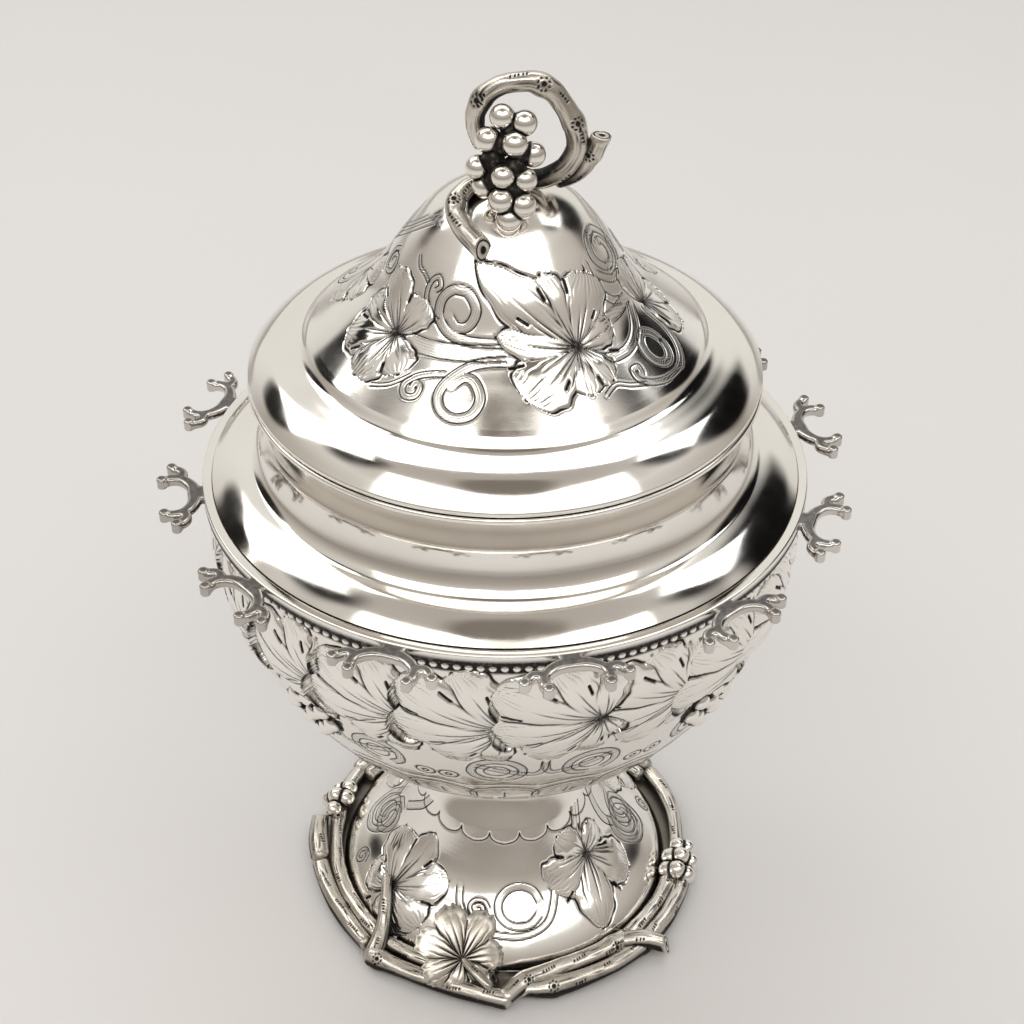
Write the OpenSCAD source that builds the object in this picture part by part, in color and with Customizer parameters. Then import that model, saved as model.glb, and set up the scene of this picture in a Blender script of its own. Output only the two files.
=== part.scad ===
// Footed sugar bowl in sheet and cast silver: a raised bowl on a domed foot, a shoulder with twelve
// spoon rests round its edge, a vine wreath round the foot, and a lift-off lid with a vine finial.
// Millimetres, +Z up. The origin is on the axis at the foot's flat underside. The front is -Y.

/* [Sheet silver] */
// Thickness of the raised and spun sheet
sheet_t = 1; // [0.8:0.1:1.6]
// Gap left for the solder line between two pieces that are joined
solder = 0.02; // [0.01:0.01:0.05]

/* [Bowl] */
// Largest outside radius of the bowl
bowl_r = 73.5; // [58:0.5:90]
// Depth of the bowl's round lower part, from its widest level to where the curve would close
bowl_depth = 82; // [66:0.2:100]
// Height of the bowl's upright rim above its widest level
bowl_rim_h = 11.2; // [8:0.2:16]

/* [Shoulder, neck and mouth] */
// How far the shoulder's edge moulding stands out from the bowl
lip_out = 2.5; // [1.5:0.1:4]
// Height of the edge moulding
lip_h = 3.2; // [2.4:0.1:4.5]
// Rise of the shoulder from its edge to the foot of the neck
shoulder_rise = 5; // [3:0.5:9]
// Width of the shoulder, from the bowl's side in to the foot of the neck
shoulder_w = 10.3; // [8:0.1:14]
// How far the neck draws in from its foot to its narrowest place
neck_in = 4.3; // [3:0.1:6]
// Height of the neck, from the foot of the neck to its top edge
neck_h = 20.6; // [14:0.2:30]
// How far the mouth's wire lies inside the foot of the neck
mouth_in = 0.6; // [0:0.1:1.6]
// Height of the mouth's wire
mouth_wire_h = 1.5; // [1:0.1:2.5]

/* [Beaded wire] */
// Radius of one bead
bead_r = 1.1; // [0.8:0.05:1.5]
// Distance from bead to bead
bead_pitch = 2.65; // [2.5:0.05:4]

/* [Spoon rests] */
// Number of spoon rests
rest_count = 12; // [12:1:12]
// Angle of the first spoon rest, from the front towards +X
rest_phase = 11; // [0:1:29]
// Thickness of a spoon rest
rest_t = 2.4; // [1.6:0.1:3]
// Width of the metal in a rest's arms
rest_bar = 2.1; // [1.6:0.1:2.8]
// Half the inside width of the mouth that holds the spoon's handle
rest_mouth_half = 6.4; // [4.5:0.1:7.5]
// Inside depth of that mouth, half of it, measured out from the bowl
rest_mouth_deep = 4.3; // [3:0.1:6]
// Gap between the shoulder's edge and the back of the mouth
rest_stem = 3; // [2:0.1:5]
// Width of the stem
rest_stem_w = 4.6; // [3:0.1:7]
// Half the distance between the two outer knobs
rest_half_w = 11.8; // [9.5:0.1:14]
// Radius of the knobs
rest_knob_r = 1.35; // [1:0.05:2]
// How much taller a knob is than its arm
rest_knob_up = 0.7; // [0:0.1:1.5]

/* [Stem and foot] */
// Outside radius of the stem at its narrowest
stem_r = 17.6; // [13:0.1:24]
// How far the stem flares out at its top, where it meets the bowl
stem_flare = 3.4; // [2:0.1:6]
// Height of the stem, from the foot's dome to the bowl
stem_h = 21.4; // [14:0.2:34]
// Height of the joint between the foot's dome and the stem
stem_joint_z = 34; // [26:1:42]
// Outside radius of the foot's dome at its edge
foot_r = 48; // [38:0.5:58]
// How far the flat ring under the foot reaches out and in from the dome's edge
apron_reach = 5; // [4:0.5:7]
// Thickness of the flat ring under the foot
apron_t = 1.2; // [0.8:0.1:2]

/* [Wreath on the foot] */
// Distance of the wreath's middle line from the dome's edge
wreath_out = 5; // [4.5:0.1:7]
// Radius of a vine branch at its thickest
vine_r = 2.4; // [1.8:0.1:3]
// Radius of a grape on the wreath
wreath_grape_r = 2.6; // [2:0.1:3.2]
// Length of a leaf on the wreath
leaf_l = 21; // [16:0.5:26]
// Thickness of a leaf
leaf_t = 1.3; // [1:0.1:2]

/* [Lid] */
// How far the lid's edge lies inside the mouth's
lid_in = 0.3; // [0:0.1:1.5]
// Height of the lid's edge wire
lid_wire_h = 1.7; // [1.2:0.1:2.6]
// Gap under the lid's edge wire, where it rests on the mouth
seat_gap = 0.3; // [0.2:0.05:0.5]
// Width of the lid's brim, from its edge in to the foot of the dome
brim_w = 14.7; // [11:0.1:18]
// Rise of the lid's brim, from its edge to that ring
brim_rise = 9; // [6:0.5:14]
// Height of the dome above that ring
dome_h = 39.2; // [30:0.2:50]
// Depth of the lid's inner ring below the edge wire
bezel_depth = 7; // [4:0.5:10]
// Thickness of the lid's inner ring
bezel_t = 1; // [0.8:0.1:1.4]
// Gap all round between the lid's inner ring and the neck
bezel_gap = 0.5; // [0.3:0.05:1]

/* [Finial] */
// Radius of the finial's vine branch
finial_vine_r = 2.3; // [1.8:0.1:2.8]
// Half the width of the finial's loop, to the middle of the branch
finial_half_w = 12; // [9:0.5:15]
// Height of the finial's loop, between the middles of the branch at top and bottom
finial_h = 23.6; // [18:0.2:30]
// Radius of a grape on the finial
finial_grape_r = 2.55; // [2:0.05:3]

/* [Hidden] */
$fn = 96;
// Steps of a curve between two of its named points
CURVE_STEPS = 4;
// Sides of a vine branch, and of a grape
VINE_SIDES = 12;
GRAPE_SIDES = 14;

// Radii and levels that several pieces share
neck_foot_r = bowl_r - shoulder_w;
neck_waist_r = neck_foot_r - neck_in;
mouth_r = neck_foot_r - mouth_in;
lid_r = mouth_r - lid_in;
dome_r = lid_r - brim_w;
stem_top_r = stem_r + stem_flare;
wreath_r = foot_r + wreath_out;
bowl_mid_z = stem_joint_z + stem_h + bowl_depth * sqrt(1 - pow(stem_top_r / bowl_r, 2));
bowl_top_z = bowl_mid_z + bowl_rim_h;
edge_z = bowl_top_z + solder + sheet_t;
lip_top_z = edge_z - 0.3;
lip_low_z = lip_top_z - lip_h;
lip_r = bowl_r + lip_out;
neck_foot_z = edge_z + shoulder_rise;
neck_top_z = neck_foot_z + neck_h;
mouth_z = neck_top_z + solder + mouth_wire_h;
lid_z = mouth_z + seat_gap;
brim_z = lid_z + lid_wire_h;
ring_z = brim_z + brim_rise;
crown_z = ring_z + dome_h;

// ---- curves and shells -------------------------------------------------------------------------
function unit(v) = v / norm(v);
function spline_at(a, b, c, d, t) =
    0.5 * (2 * b + (c - a) * t + (2 * a - 5 * b + 4 * c - d) * t * t + (3 * b - a - 3 * c + d) * t * t * t);
// A smooth curve through the points P
function curve(P, steps = CURVE_STEPS) = concat(
    [for (i = [0:len(P) - 2], k = [0:steps - 1])
        spline_at(P[max(i - 1, 0)], P[i], P[i + 1], P[min(i + 2, len(P) - 1)], k / steps)],
    [P[len(P) - 1]]);
// The direction along a list of points at point i
function along(P, i) = unit(P[min(i + 1, len(P) - 1)] - P[max(i - 1, 0)]);
// The same outline moved sideways by t, to the right of its direction, and never past the axis
function beside(P, t) = [for (i = [0:len(P) - 1])
    let (d = along(P, i), q = P[i] + t * [d.y, -d.x]) [max(q.x, 0), q.y]];
function backwards(P) = [for (i = [len(P) - 1:-1:0]) P[i]];
// A closed outline of a sheet with one face on P and the other face t to the right
function sheet(P, t = sheet_t) = concat(P, backwards(beside(P, t)));
function polar(r, a, z) = [r * cos(a), r * sin(a), z];
// Height of a point on a list of [radius, height] points that run outwards or inwards
function height_on(P, r, i = 0) =
    i >= len(P) - 2 || (P[i].x - r) * (P[i + 1].x - r) <= 0
        ? P[i].y + (P[i + 1].y - P[i].y) * (r - P[i].x) / (P[i + 1].x - P[i].x)
        : height_on(P, r, i + 1);

// ---- outlines ----------------------------------------------------------------------------------
// The bowl below its widest level is half an ellipse
function bowl_low_z(r) = bowl_mid_z - bowl_depth * sqrt(1 - pow(r / bowl_r, 2));
bowl_line = concat(
    [for (a = [0:4:88]) [bowl_r * sin(a), bowl_mid_z - bowl_depth * cos(a)]],
    [[bowl_r, bowl_mid_z], [bowl_r, bowl_top_z]]);
shoulder_line = curve([
    [bowl_r, edge_z],
    [bowl_r - 0.3 * (bowl_r - neck_foot_r), edge_z + 0.42 * shoulder_rise],
    [bowl_r - 0.65 * (bowl_r - neck_foot_r), edge_z + 0.78 * shoulder_rise],
    [neck_foot_r, neck_foot_z]]);
neck_line = curve([
    [neck_foot_r, neck_foot_z],
    [neck_foot_r - 0.5 * (neck_foot_r - neck_waist_r), neck_foot_z + 0.1 * neck_h],
    [neck_waist_r + 0.1 * (neck_foot_r - neck_waist_r), neck_foot_z + 0.32 * neck_h],
    [neck_waist_r, neck_foot_z + 0.52 * neck_h],
    [neck_waist_r + 0.35 * (mouth_r - neck_waist_r), neck_foot_z + 0.82 * neck_h],
    [mouth_r - sheet_t - 0.3, neck_top_z]]);
foot_line = curve([
    [foot_r, apron_t + solder],
    [foot_r - 0.6, apron_t + 2.2],
    [foot_r - 2.8, apron_t + 5.8],
    [foot_r - 6.5, apron_t + 9.4],
    [foot_r - 12, apron_t + 13.8],
    [stem_r + 0.42 * (foot_r - stem_r), apron_t + 0.6 * (stem_joint_z - apron_t)],
    [stem_r + 0.2 * (foot_r - stem_r), stem_joint_z]]);
stem_line = curve([
    [stem_r + 0.2 * (foot_r - stem_r), stem_joint_z + solder],
    [stem_r + 2, stem_joint_z + 0.38 * (bowl_low_z(stem_top_r) - stem_joint_z)],
    [stem_r, stem_joint_z + 0.72 * (bowl_low_z(stem_top_r) - stem_joint_z)],
    [stem_top_r - 1.6, bowl_low_z(stem_top_r) - 2.2]]);
brim_line = curve([
    [lid_r, brim_z + solder],
    [lid_r - 0.16 * (lid_r - dome_r), brim_z + 0.26 * brim_rise],
    [lid_r - 0.4 * (lid_r - dome_r), brim_z + 0.52 * brim_rise],
    [lid_r - 0.68 * (lid_r - dome_r), brim_z + 0.68 * brim_rise],
    [lid_r - 0.88 * (lid_r - dome_r), brim_z + 0.8 * brim_rise],
    [dome_r, ring_z]]);
dome_line = curve([
    [dome_r, ring_z],
    [0.905 * dome_r, ring_z + 0.09 * dome_h],
    [0.8 * dome_r, ring_z + 0.19 * dome_h],
    [0.7 * dome_r, ring_z + 0.29 * dome_h],
    [0.625 * dome_r, ring_z + 0.4 * dome_h],
    [0.54 * dome_r, ring_z + 0.57 * dome_h],
    [0.44 * dome_r, ring_z + 0.73 * dome_h],
    [0.33 * dome_r, ring_z + 0.87 * dome_h],
    [0.18 * dome_r, ring_z + 0.965 * dome_h],
    [0, crown_z]]);

// ---- vine branches, grapes and leaves ----------------------------------------------------------
// A tube through the points P with the radius R[i] at point i. The reference direction is never
// along the branch.
module vine(P, R, reference) {
    n = len(P);
    points = [for (i = [0:n - 1], k = [0:VINE_SIDES - 1])
        let (s = unit(cross(along(P, i), reference)),
             u = cross(s, along(P, i)),
             a = 360 * k / VINE_SIDES)
        P[i] + R[i] * (cos(a) * s + sin(a) * u)];
    walls = [for (i = [0:n - 2], k = [0:VINE_SIDES - 1])
        let (a = i * VINE_SIDES + k,
             b = i * VINE_SIDES + (k + 1) % VINE_SIDES)
        each [[a, b, b + VINE_SIDES], [a, b + VINE_SIDES, a + VINE_SIDES]]];
    start_cap = [for (k = [VINE_SIDES - 1:-1:0]) k];
    end_cap = [for (k = [0:VINE_SIDES - 1]) (n - 1) * VINE_SIDES + k];
    polyhedron(points, concat(walls, [start_cap, end_cap]), convexity = 6);
}

// A branch on the wreath. Each point is [out from the wreath's middle line, angle, up from the
// apron, radius as a share of the vine's].
module wreath_vine(Q) {
    P = curve([for (q = Q) polar(wreath_r + q[0], q[1], apron_t + solder + q[2])]);
    S = curve([for (q = Q) [q[3], 0]]);
    vine(P, [for (s = S) vine_r * s.x], [0, 0, 1]);
}

// A bunch cast in one: grapes of radius r at the points C, joined by a core of smaller ones
module grapes(C, r, core) {
    for (c = C) translate(c) hull() sphere(r = r, $fn = GRAPE_SIDES);
    for (c = core) translate(c) hull() sphere(r = 0.9 * r, $fn = GRAPE_SIDES);
}

// The outline of a five-lobed vine leaf of length 1, with its stalk at the origin and its tip on +X
function leaf_outline(step = 6) = [for (a = [-168:step:168])
    let (lobe = 0.66 + 0.2 * cos(5 * a) + 0.03 * cos(25 * a),
         reach = lobe * (0.82 + 0.18 * cos(a)))
    [0.24 + 0.86 * reach * cos(a) * 0.86, reach * sin(a) * 0.74]];

module leaf(length, thickness) {
    linear_extrude(height = thickness) polygon([for (p = leaf_outline()) length * p]);
}

// ---- the bowl ----------------------------------------------------------------------------------
module bowl_body() {
    color("silver") rotate_extrude() polygon(concat(bowl_line, backwards(beside(bowl_line, -sheet_t))));
}

module shoulder_and_neck() {
    outer = concat(shoulder_line, [for (i = [1:len(neck_line) - 1]) neck_line[i]]);
    inner = [for (i = [0:len(outer) - 1])
        i == 0 ? [bowl_r, bowl_top_z + solder]
        : i == len(outer) - 1 ? [outer[i].x - sheet_t, outer[i].y]
        : beside(outer, -sheet_t)[i]];
    color("silver") rotate_extrude() polygon(concat(outer, backwards(inner)));
}

module edge_moulding() {
    inner_r = bowl_r + solder;
    color("gainsboro") rotate_extrude() polygon([
        [inner_r, lip_low_z],
        [lip_r - 0.5, lip_low_z],
        [lip_r, lip_low_z + 0.4],
        [lip_r, lip_top_z - 0.5],
        [lip_r - 0.3, lip_top_z - 0.1],
        [lip_r - 0.9, lip_top_z],
        [inner_r, lip_top_z]]);
}

module beaded_wire() {
    ring_r = bowl_r + bead_r + solder;
    count = floor(360 / (2 * asin(bead_pitch / 2 / ring_r)));
    color("gainsboro") for (i = [0:count - 1])
        rotate(360 * i / count) translate([ring_r, 0, lip_low_z - bead_r - solder]) sphere(r = bead_r);
}

// A ring of wire with a half-round outer side, from radius in_r to out_r and height z0 to z1
module half_round_ring(in_r, out_r, z0, z1) {
    round_r = (z1 - z0) / 2;
    rotate_extrude() polygon(concat(
        [[in_r, z0]],
        [for (a = [-90:15:90]) [out_r - round_r + round_r * cos(a), (z0 + z1) / 2 + round_r * sin(a)]],
        [[in_r, z1]]));
}

module mouth_wire() {
    color("gainsboro") half_round_ring(mouth_r - sheet_t - 1.4, mouth_r, neck_top_z + solder, mouth_z);
}

// ---- the spoon rests ---------------------------------------------------------------------------
// In the plan of one rest, +X points out from the bowl and the origin is on the bowl's axis
module rest_bar_between(a, b, w) {
    translate(a) rotate(atan2(b.y - a.y, b.x - a.x)) translate([0, -w / 2]) square([norm(b - a), w]);
}

module rest_plan() {
    back_r = lip_r + rest_stem;
    centre = [back_r + rest_mouth_deep, 0];
    inner = [for (a = [-128:8:128]) centre + [-rest_mouth_deep * cos(a), rest_mouth_half * sin(a)]];
    outer = [for (a = [-128:8:128])
        centre + [-(rest_mouth_deep + rest_bar) * cos(a), (rest_mouth_half + rest_bar) * sin(a)]];
    difference() {
        union() {
            polygon(concat(inner, backwards(outer)));
            translate([lip_r - 1, -rest_stem_w / 2]) square([rest_stem + 1, rest_stem_w]);
            for (side = [-1, 1])
                rest_bar_between(centre + [-0.5 * rest_mouth_deep, side * (rest_mouth_half + 0.3)],
                    rest_knob_at(side), 1.8 * rest_knob_r);
        }
        circle(r = lip_r + solder);
    }
}

function rest_knob_at(side) = [lip_r + rest_stem + 0.95 * rest_mouth_deep, side * rest_half_w];
function rest_tip_at(side) = [
    lip_r + rest_stem + rest_mouth_deep * (1 - cos(128)) + 0.7,
    side * (rest_mouth_half + rest_bar / 2) * sin(128)];

module spoon_rest(i) {
    low = lip_top_z - 0.35 - rest_t;
    color("dimgray") rotate(-90 + rest_phase + 360 * i / rest_count) {
        translate([0, 0, low]) linear_extrude(height = rest_t) rest_plan();
        for (side = [-1, 1]) {
            translate([rest_knob_at(side).x, rest_knob_at(side).y, low - rest_knob_up / 2])
                cylinder(r = rest_knob_r, h = rest_t + rest_knob_up);
            translate([rest_tip_at(side).x, rest_tip_at(side).y, low - rest_knob_up / 2])
                cylinder(r = rest_knob_r, h = rest_t + rest_knob_up);
        }
    }
}

// ---- stem and foot -----------------------------------------------------------------------------
module stem() {
    top_out = [stem_top_r, bowl_low_z(stem_top_r) - 2 * solder];
    top_in = [stem_top_r - sheet_t, bowl_low_z(stem_top_r - sheet_t) - 2 * solder];
    outer = concat(stem_line, [top_out]);
    inner = [for (i = [0:len(stem_line) - 1])
        i == 0 ? stem_line[0] - [1.4 * sheet_t, 0] : beside(stem_line, -sheet_t)[i]];
    color("silver") rotate_extrude() polygon(concat(outer, [top_in], backwards(inner)));
}

module foot_dome() {
    inner = [for (i = [0:len(foot_line) - 1])
        i == 0 || i == len(foot_line) - 1 ? foot_line[i] - [1.4 * sheet_t, 0]
        : beside(foot_line, -sheet_t)[i]];
    color("silver") rotate_extrude() polygon(concat(foot_line, backwards(inner)));
}

module foot_apron() {
    color("dimgray") rotate_extrude()
        translate([foot_r - apron_reach, 0]) square([2 * apron_reach, apron_t]);
}

// ---- the wreath --------------------------------------------------------------------------------
up = vine_r;
module vine_front_left() {
    color("silver") wreath_vine([
        [5.2, 270.4, up, 1], [3.2, 261, up, 0.95], [2.4, 250, up, 0.9], [2.6, 239, up, 0.95],
        [4, 229, up, 1.05]]);
}

module vine_front_inner() {
    color("silver") wreath_vine([
        [-2.6, 230, up, 0.8], [-2.8, 242, up, 0.85], [-3, 254, up, 0.8], [-2.4, 265, up, 0.75]]);
}

module vine_front_right() {
    color("silver") wreath_vine([
        [4.4, 270.2, up + 0.5, 1], [-0.6, 276, up + 0.8, 1], [-2.6, 285, up + 0.6, 1],
        [-3, 298, up + 0.4, 1], [-2.4, 312, up + 0.4, 1.15]]);
}

module vine_cut_stub() {
    color("silver") wreath_vine([
        [-1.4, 312, up + 1.2, 0.95], [2.2, 315.4, up + 2.8, 0.95], [6, 318.2, up + 1.6, 0.9]]);
}

module vine_right_outer() {
    color("silver") wreath_vine([
        [1.6, 277, up, 0.85], [2.4, 284, up, 1.1], [2.2, 296, up, 0.9], [2.4, 308, up, 0.95],
        [2.2, 322, up, 0.95], [1.8, 336, up, 0.9], [1.6, 347, up, 0.85]]);
}

module vine_right_inner() {
    color("silver") wreath_vine([
        [-2.6, 315, up, 0.95], [-2.8, 326, up, 0.9], [-2.6, 338, up, 0.85], [-1.8, 350, up, 0.8],
        [-0.8, 364, up, 0.8], [0.6, 380, up, 0.85], [0.8, 392, up, 0.9]]);
}

module vine_left_outer() {
    color("silver") wreath_vine([
        [2, 224, up, 0.85], [1.4, 212, up, 0.9], [1.6, 200, up, 0.9], [2, 190, up, 0.95]]);
}

module vine_left_inner() {
    color("silver") wreath_vine([
        [-2.4, 225, up, 0.9], [-2.9, 212, up, 0.85], [-2.8, 198, up, 0.85], [-2.6, 184, up, 0.8],
        [-1.6, 171, up, 0.8], [0.2, 158, up, 0.85], [0.8, 148, up, 0.9]]);
}

module vine_left_stub() {
    color("silver") wreath_vine([
        [2.2, 186, up, 1.05], [3, 179, up + 0.3, 1.1], [3.6, 172, up + 0.6, 0.95]]);
}

// The twig climbs from the wreath onto the foot's dome
module vine_left_twig() {
    color("silver") wreath_vine([
        [4, 229.5, up, 1.05], [-2, 227, up + 2, 0.85], [-7.6, 222, up + 6.5, 0.7],
        [-12, 214.5, up + 10.6, 0.55]]);
}

module vine_back_left() {
    color("silver") wreath_vine([
        [1.6, 146, up, 0.9], [2.2, 134, up, 0.95], [2.4, 120, up, 0.9], [3.2, 104, up, 0.95],
        [5.2, 90, up, 1]]);
}

module vine_back_right() {
    color("silver") wreath_vine([
        [5, 91, up + 0.3, 1], [2.8, 78, up, 0.95], [2.2, 64, up, 0.9], [2.4, 50, up, 0.95],
        [1.8, 36, up, 0.9]]);
}

module vine_back_inner() {
    color("silver") wreath_vine([
        [-2.6, 34, up, 0.85], [-2.9, 50, up, 0.85], [-2.8, 68, up, 0.8], [-2.6, 88, up, 0.8],
        [-2.8, 108, up, 0.8], [-2.9, 128, up, 0.85], [-2.6, 146, up, 0.85]]);
}

// A leaf with its stalk end on the inner branch at the given angle, lying up the foot's dome and
// turned sideways by turn
module wreath_leaf(angle, turn) {
    over = apron_t + 2 * vine_r + 2.3;
    translate(polar(wreath_r - 3.6, angle, over))
        rotate([0, 0, angle + 180 + turn]) rotate([0, -38, 0]) leaf(leaf_l, leaf_t);
}

module vine_leaf_front() {
    color("silver") wreath_leaf(256, 36);
}

module vine_leaf_stalk() {
    color("silver") wreath_vine([
        [-3.4, 257, up + 4.6, 0.5], [-0.4, 261, up + 4, 0.55], [2.6, 265.5, up + 2.7, 0.6]]);
}

module vine_leaf_back() {
    color("silver") wreath_leaf(76, -36);
}

// Grapes of a cluster on the wreath, as [out from the wreath's line, angle, height above the apron]
module wreath_cluster(middle, Q) {
    C = [for (q = Q) polar(wreath_r + q[0], middle + q[1], apron_t + solder + wreath_grape_r + q[2])];
    core = [for (side = [-1, 1]) polar(wreath_r - 1, middle + 2.4 * side, apron_t + 1 + wreath_grape_r)];
    color("silver") grapes(C, wreath_grape_r, core);
}

module grapes_left() {
    wreath_cluster(163, [
        [-1.2, -5.6, 2], [1.6, -5, 0.6], [-2.4, 0.2, 3], [0.6, 0.4, 3.4], [3, 0, 0.8], [0, 5.4, 2.4]]);
}

module grapes_right() {
    wreath_cluster(350, [
        [-3.4, -5.2, 2], [-0.6, -5.4, 3.2], [2.2, -5, 1.4], [-3.2, 0.2, 2.6], [-0.2, 0, 3.8],
        [2.8, 0.4, 1.4], [-1.4, 5.4, 2.6], [1.4, 5.6, 1.8]]);
}

module grapes_back() {
    wreath_cluster(118, [
        [-2.8, -5, 2.2], [0.2, -5.2, 3.2], [-3, 0.4, 2.8], [0, 0, 3.8], [2.8, 0.2, 1.4], [-1, 5.2, 2.6]]);
}

// ---- the lid -----------------------------------------------------------------------------------
module lid_cover() {
    outer = concat(brim_line, [for (i = [1:len(dome_line) - 1]) dome_line[i]]);
    shifted = beside(outer, -sheet_t);
    inner = [for (i = [0:len(outer) - 1])
        i == 0 ? [lid_r - 2.2 * sheet_t, brim_z + solder]
        : i == len(outer) - 1 ? [0, crown_z - sheet_t]
        : [min(shifted[i].x, lid_r - 2.2 * sheet_t), max(shifted[i].y, brim_z + solder)]];
    color("silver") rotate_extrude() polygon(concat(outer, backwards(inner)));
}

module lid_edge_wire() {
    color("gainsboro") half_round_ring(lid_r - 3.4, lid_r, lid_z, brim_z);
}

module lid_bezel() {
    out_r = neck_waist_r - sheet_t - bezel_gap;
    top_z = height_on(brim_line, out_r) - 1.4 * sheet_t - 2 * solder;
    color("gainsboro") rotate_extrude()
        translate([out_r - bezel_t, lid_z - bezel_depth]) square([bezel_t, top_z - lid_z + bezel_depth]);
}

// ---- the finial --------------------------------------------------------------------------------
// The plane of the loop stands this far in front of the axis
loop_y = -3.6;
// Middle of the branch at the loop's lowest point
loop_z = crown_z + finial_vine_r - 0.9;
function on_loop(across, rise, y = 0) = [4.6 + across * finial_half_w, loop_y + y, loop_z + rise * finial_h];

module finial_loop() {
    P = curve([
        on_loop(-0.42, 0.03, 1.6), on_loop(0.1, -0.03, 1), on_loop(0.55, 0.06), on_loop(0.88, 0.22),
        on_loop(0.98, 0.45), on_loop(0.7, 0.76), on_loop(0.32, 0.99), on_loop(-0.22, 1.01),
        on_loop(-0.66, 0.93), on_loop(-0.92, 0.76), on_loop(-0.96, 0.56), on_loop(-0.86, 0.38, -0.4)], 3);
    S = curve([for (s = [0.8, 0.95, 1, 1, 1.08, 1, 1.1, 1, 1, 0.98, 0.9, 0.72]) [s, 0]], 3);
    color("silver") vine(P, [for (s = S) finial_vine_r * s.x], [0, 1, 0]);
}

module finial_spur() {
    P = curve([on_loop(0.62, -0.04, 1.2), on_loop(0.98, 0.05, 1), on_loop(1.26, 0.28, 0.6),
        on_loop(1.42, 0.52, 0)]);
    S = curve([for (s = [0.7, 0.82, 0.85, 0.95]) [s, 0]]);
    color("silver") vine(P, [for (s = S) finial_vine_r * s.x], [0, 1, 0]);
}

// The cut end of the vine lies down the front of the dome, to the left
module finial_twig() {
    lie = 0.8 * finial_vine_r;
    at_dome = function (r, a, more) polar(r, a, height_on(dome_line, r) + more);
    P = curve([
        at_dome(6, 215, lie + 0.4), at_dome(11.5, 212, lie + 0.6), at_dome(15.6, 222, lie + 0.6),
        at_dome(17.6, 236, lie + 0.5), at_dome(19.4, 251, lie + 0.2)]);
    S = curve([for (s = [0.8, 0.9, 0.95, 1, 1.05]) [s, 0]]);
    color("silver") vine(P, [for (s = S) finial_vine_r * s.x], [0, 0, 1]);
}

// The bunch hangs down the front of the loop and ends on the dome. Each grape is [left or right,
// behind or in front, height above the lowest grape].
module finial_grapes() {
    bunch = [
        [-0.8, 6.6, 23.4], [4.2, 6.2, 22], [-4, 5.8, 17.8], [2, 3.6, 17.8], [6.2, 5.2, 14.4],
        [-6.5, 4.6, 11.2], [-0.7, 1.2, 10.6], [4.4, 2.2, 9.2], [-4.9, 3.6, 6.8],
        [-1.1, 0, 5], [4, 0.4, 3.4], [0.7, 0, 0]];
    core = [[1.4, 7, 20.4], [-1.2, 5.6, 16.6], [3.4, 5, 15], [-3, 4.6, 13.2], [2, 3.6, 11.8],
        [-2.6, 3.4, 8.6], [2, 2.4, 6.4], [1.6, 1.4, 2.8]];
    base = [0, -15, height_on(dome_line, 15) + 0.9 * finial_grape_r];
    color("silver") grapes([for (g = bunch) base + g], finial_grape_r, [for (c = core) base + c]);
}

// ---- one line for each piece -------------------------------------------------------------------
bowl_body();
shoulder_and_neck();
edge_moulding();
beaded_wire();
mouth_wire();
spoon_rest(0);  // spoon_rest_01
spoon_rest(1);  // spoon_rest_02
spoon_rest(2);  // spoon_rest_03
spoon_rest(3);  // spoon_rest_04
spoon_rest(4);  // spoon_rest_05
spoon_rest(5);  // spoon_rest_06
spoon_rest(6);  // spoon_rest_07
spoon_rest(7);  // spoon_rest_08
spoon_rest(8);  // spoon_rest_09
spoon_rest(9);  // spoon_rest_10
spoon_rest(10);  // spoon_rest_11
spoon_rest(11);  // spoon_rest_12
stem();
foot_dome();
foot_apron();
vine_front_left();
vine_front_inner();
vine_front_right();
vine_cut_stub();
vine_right_outer();
vine_right_inner();
vine_left_outer();
vine_left_inner();
vine_left_stub();
vine_left_twig();
vine_back_left();
vine_back_right();
vine_back_inner();
vine_leaf_front();
vine_leaf_stalk();
vine_leaf_back();
grapes_left();
grapes_right();
grapes_back();
lid_cover();
lid_edge_wire();
lid_bezel();
finial_loop();
finial_twig();
finial_spur();
finial_grapes();
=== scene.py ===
# %% [markdown]
# # A silver sugar bowl with a vine wreath and twelve spoon rests
# The bowl was raised from sheet silver, its leaves were pushed out from behind and cut from the
# front, and the vine on the foot and lid was cast and soldered on. The frame holds the true sizes
# of every piece, so this script only makes the surfaces: relief, bark, beads and polish.

# %% Load the frame
import math

import bmesh
import bpy
import numpy as np
from mathutils import Matrix, Vector


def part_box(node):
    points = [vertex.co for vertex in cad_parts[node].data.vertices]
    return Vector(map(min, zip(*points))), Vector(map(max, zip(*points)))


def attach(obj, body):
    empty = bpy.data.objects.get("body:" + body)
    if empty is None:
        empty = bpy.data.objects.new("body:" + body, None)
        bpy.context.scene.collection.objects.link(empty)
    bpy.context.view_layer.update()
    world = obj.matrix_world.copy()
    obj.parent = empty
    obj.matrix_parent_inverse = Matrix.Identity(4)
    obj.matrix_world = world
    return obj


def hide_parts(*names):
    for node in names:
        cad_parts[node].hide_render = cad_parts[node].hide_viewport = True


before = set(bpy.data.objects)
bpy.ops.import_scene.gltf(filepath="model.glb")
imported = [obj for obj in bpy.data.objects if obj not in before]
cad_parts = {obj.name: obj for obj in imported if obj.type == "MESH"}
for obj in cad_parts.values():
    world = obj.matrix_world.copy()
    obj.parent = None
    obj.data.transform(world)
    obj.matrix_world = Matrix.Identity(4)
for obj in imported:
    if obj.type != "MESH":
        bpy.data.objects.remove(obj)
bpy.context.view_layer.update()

# %% [markdown]
# ## Sizes
# Everything is worked out in millimetres and turned to metres when a mesh is made. A radius or a
# level that the frame already knows is read from it, so the silver always meets its neighbours.
# The few that no box shows, such as the ring where the lid's brim meets its dome, are named here.

# %% Sizes in millimetres
MM = 0.001


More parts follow.
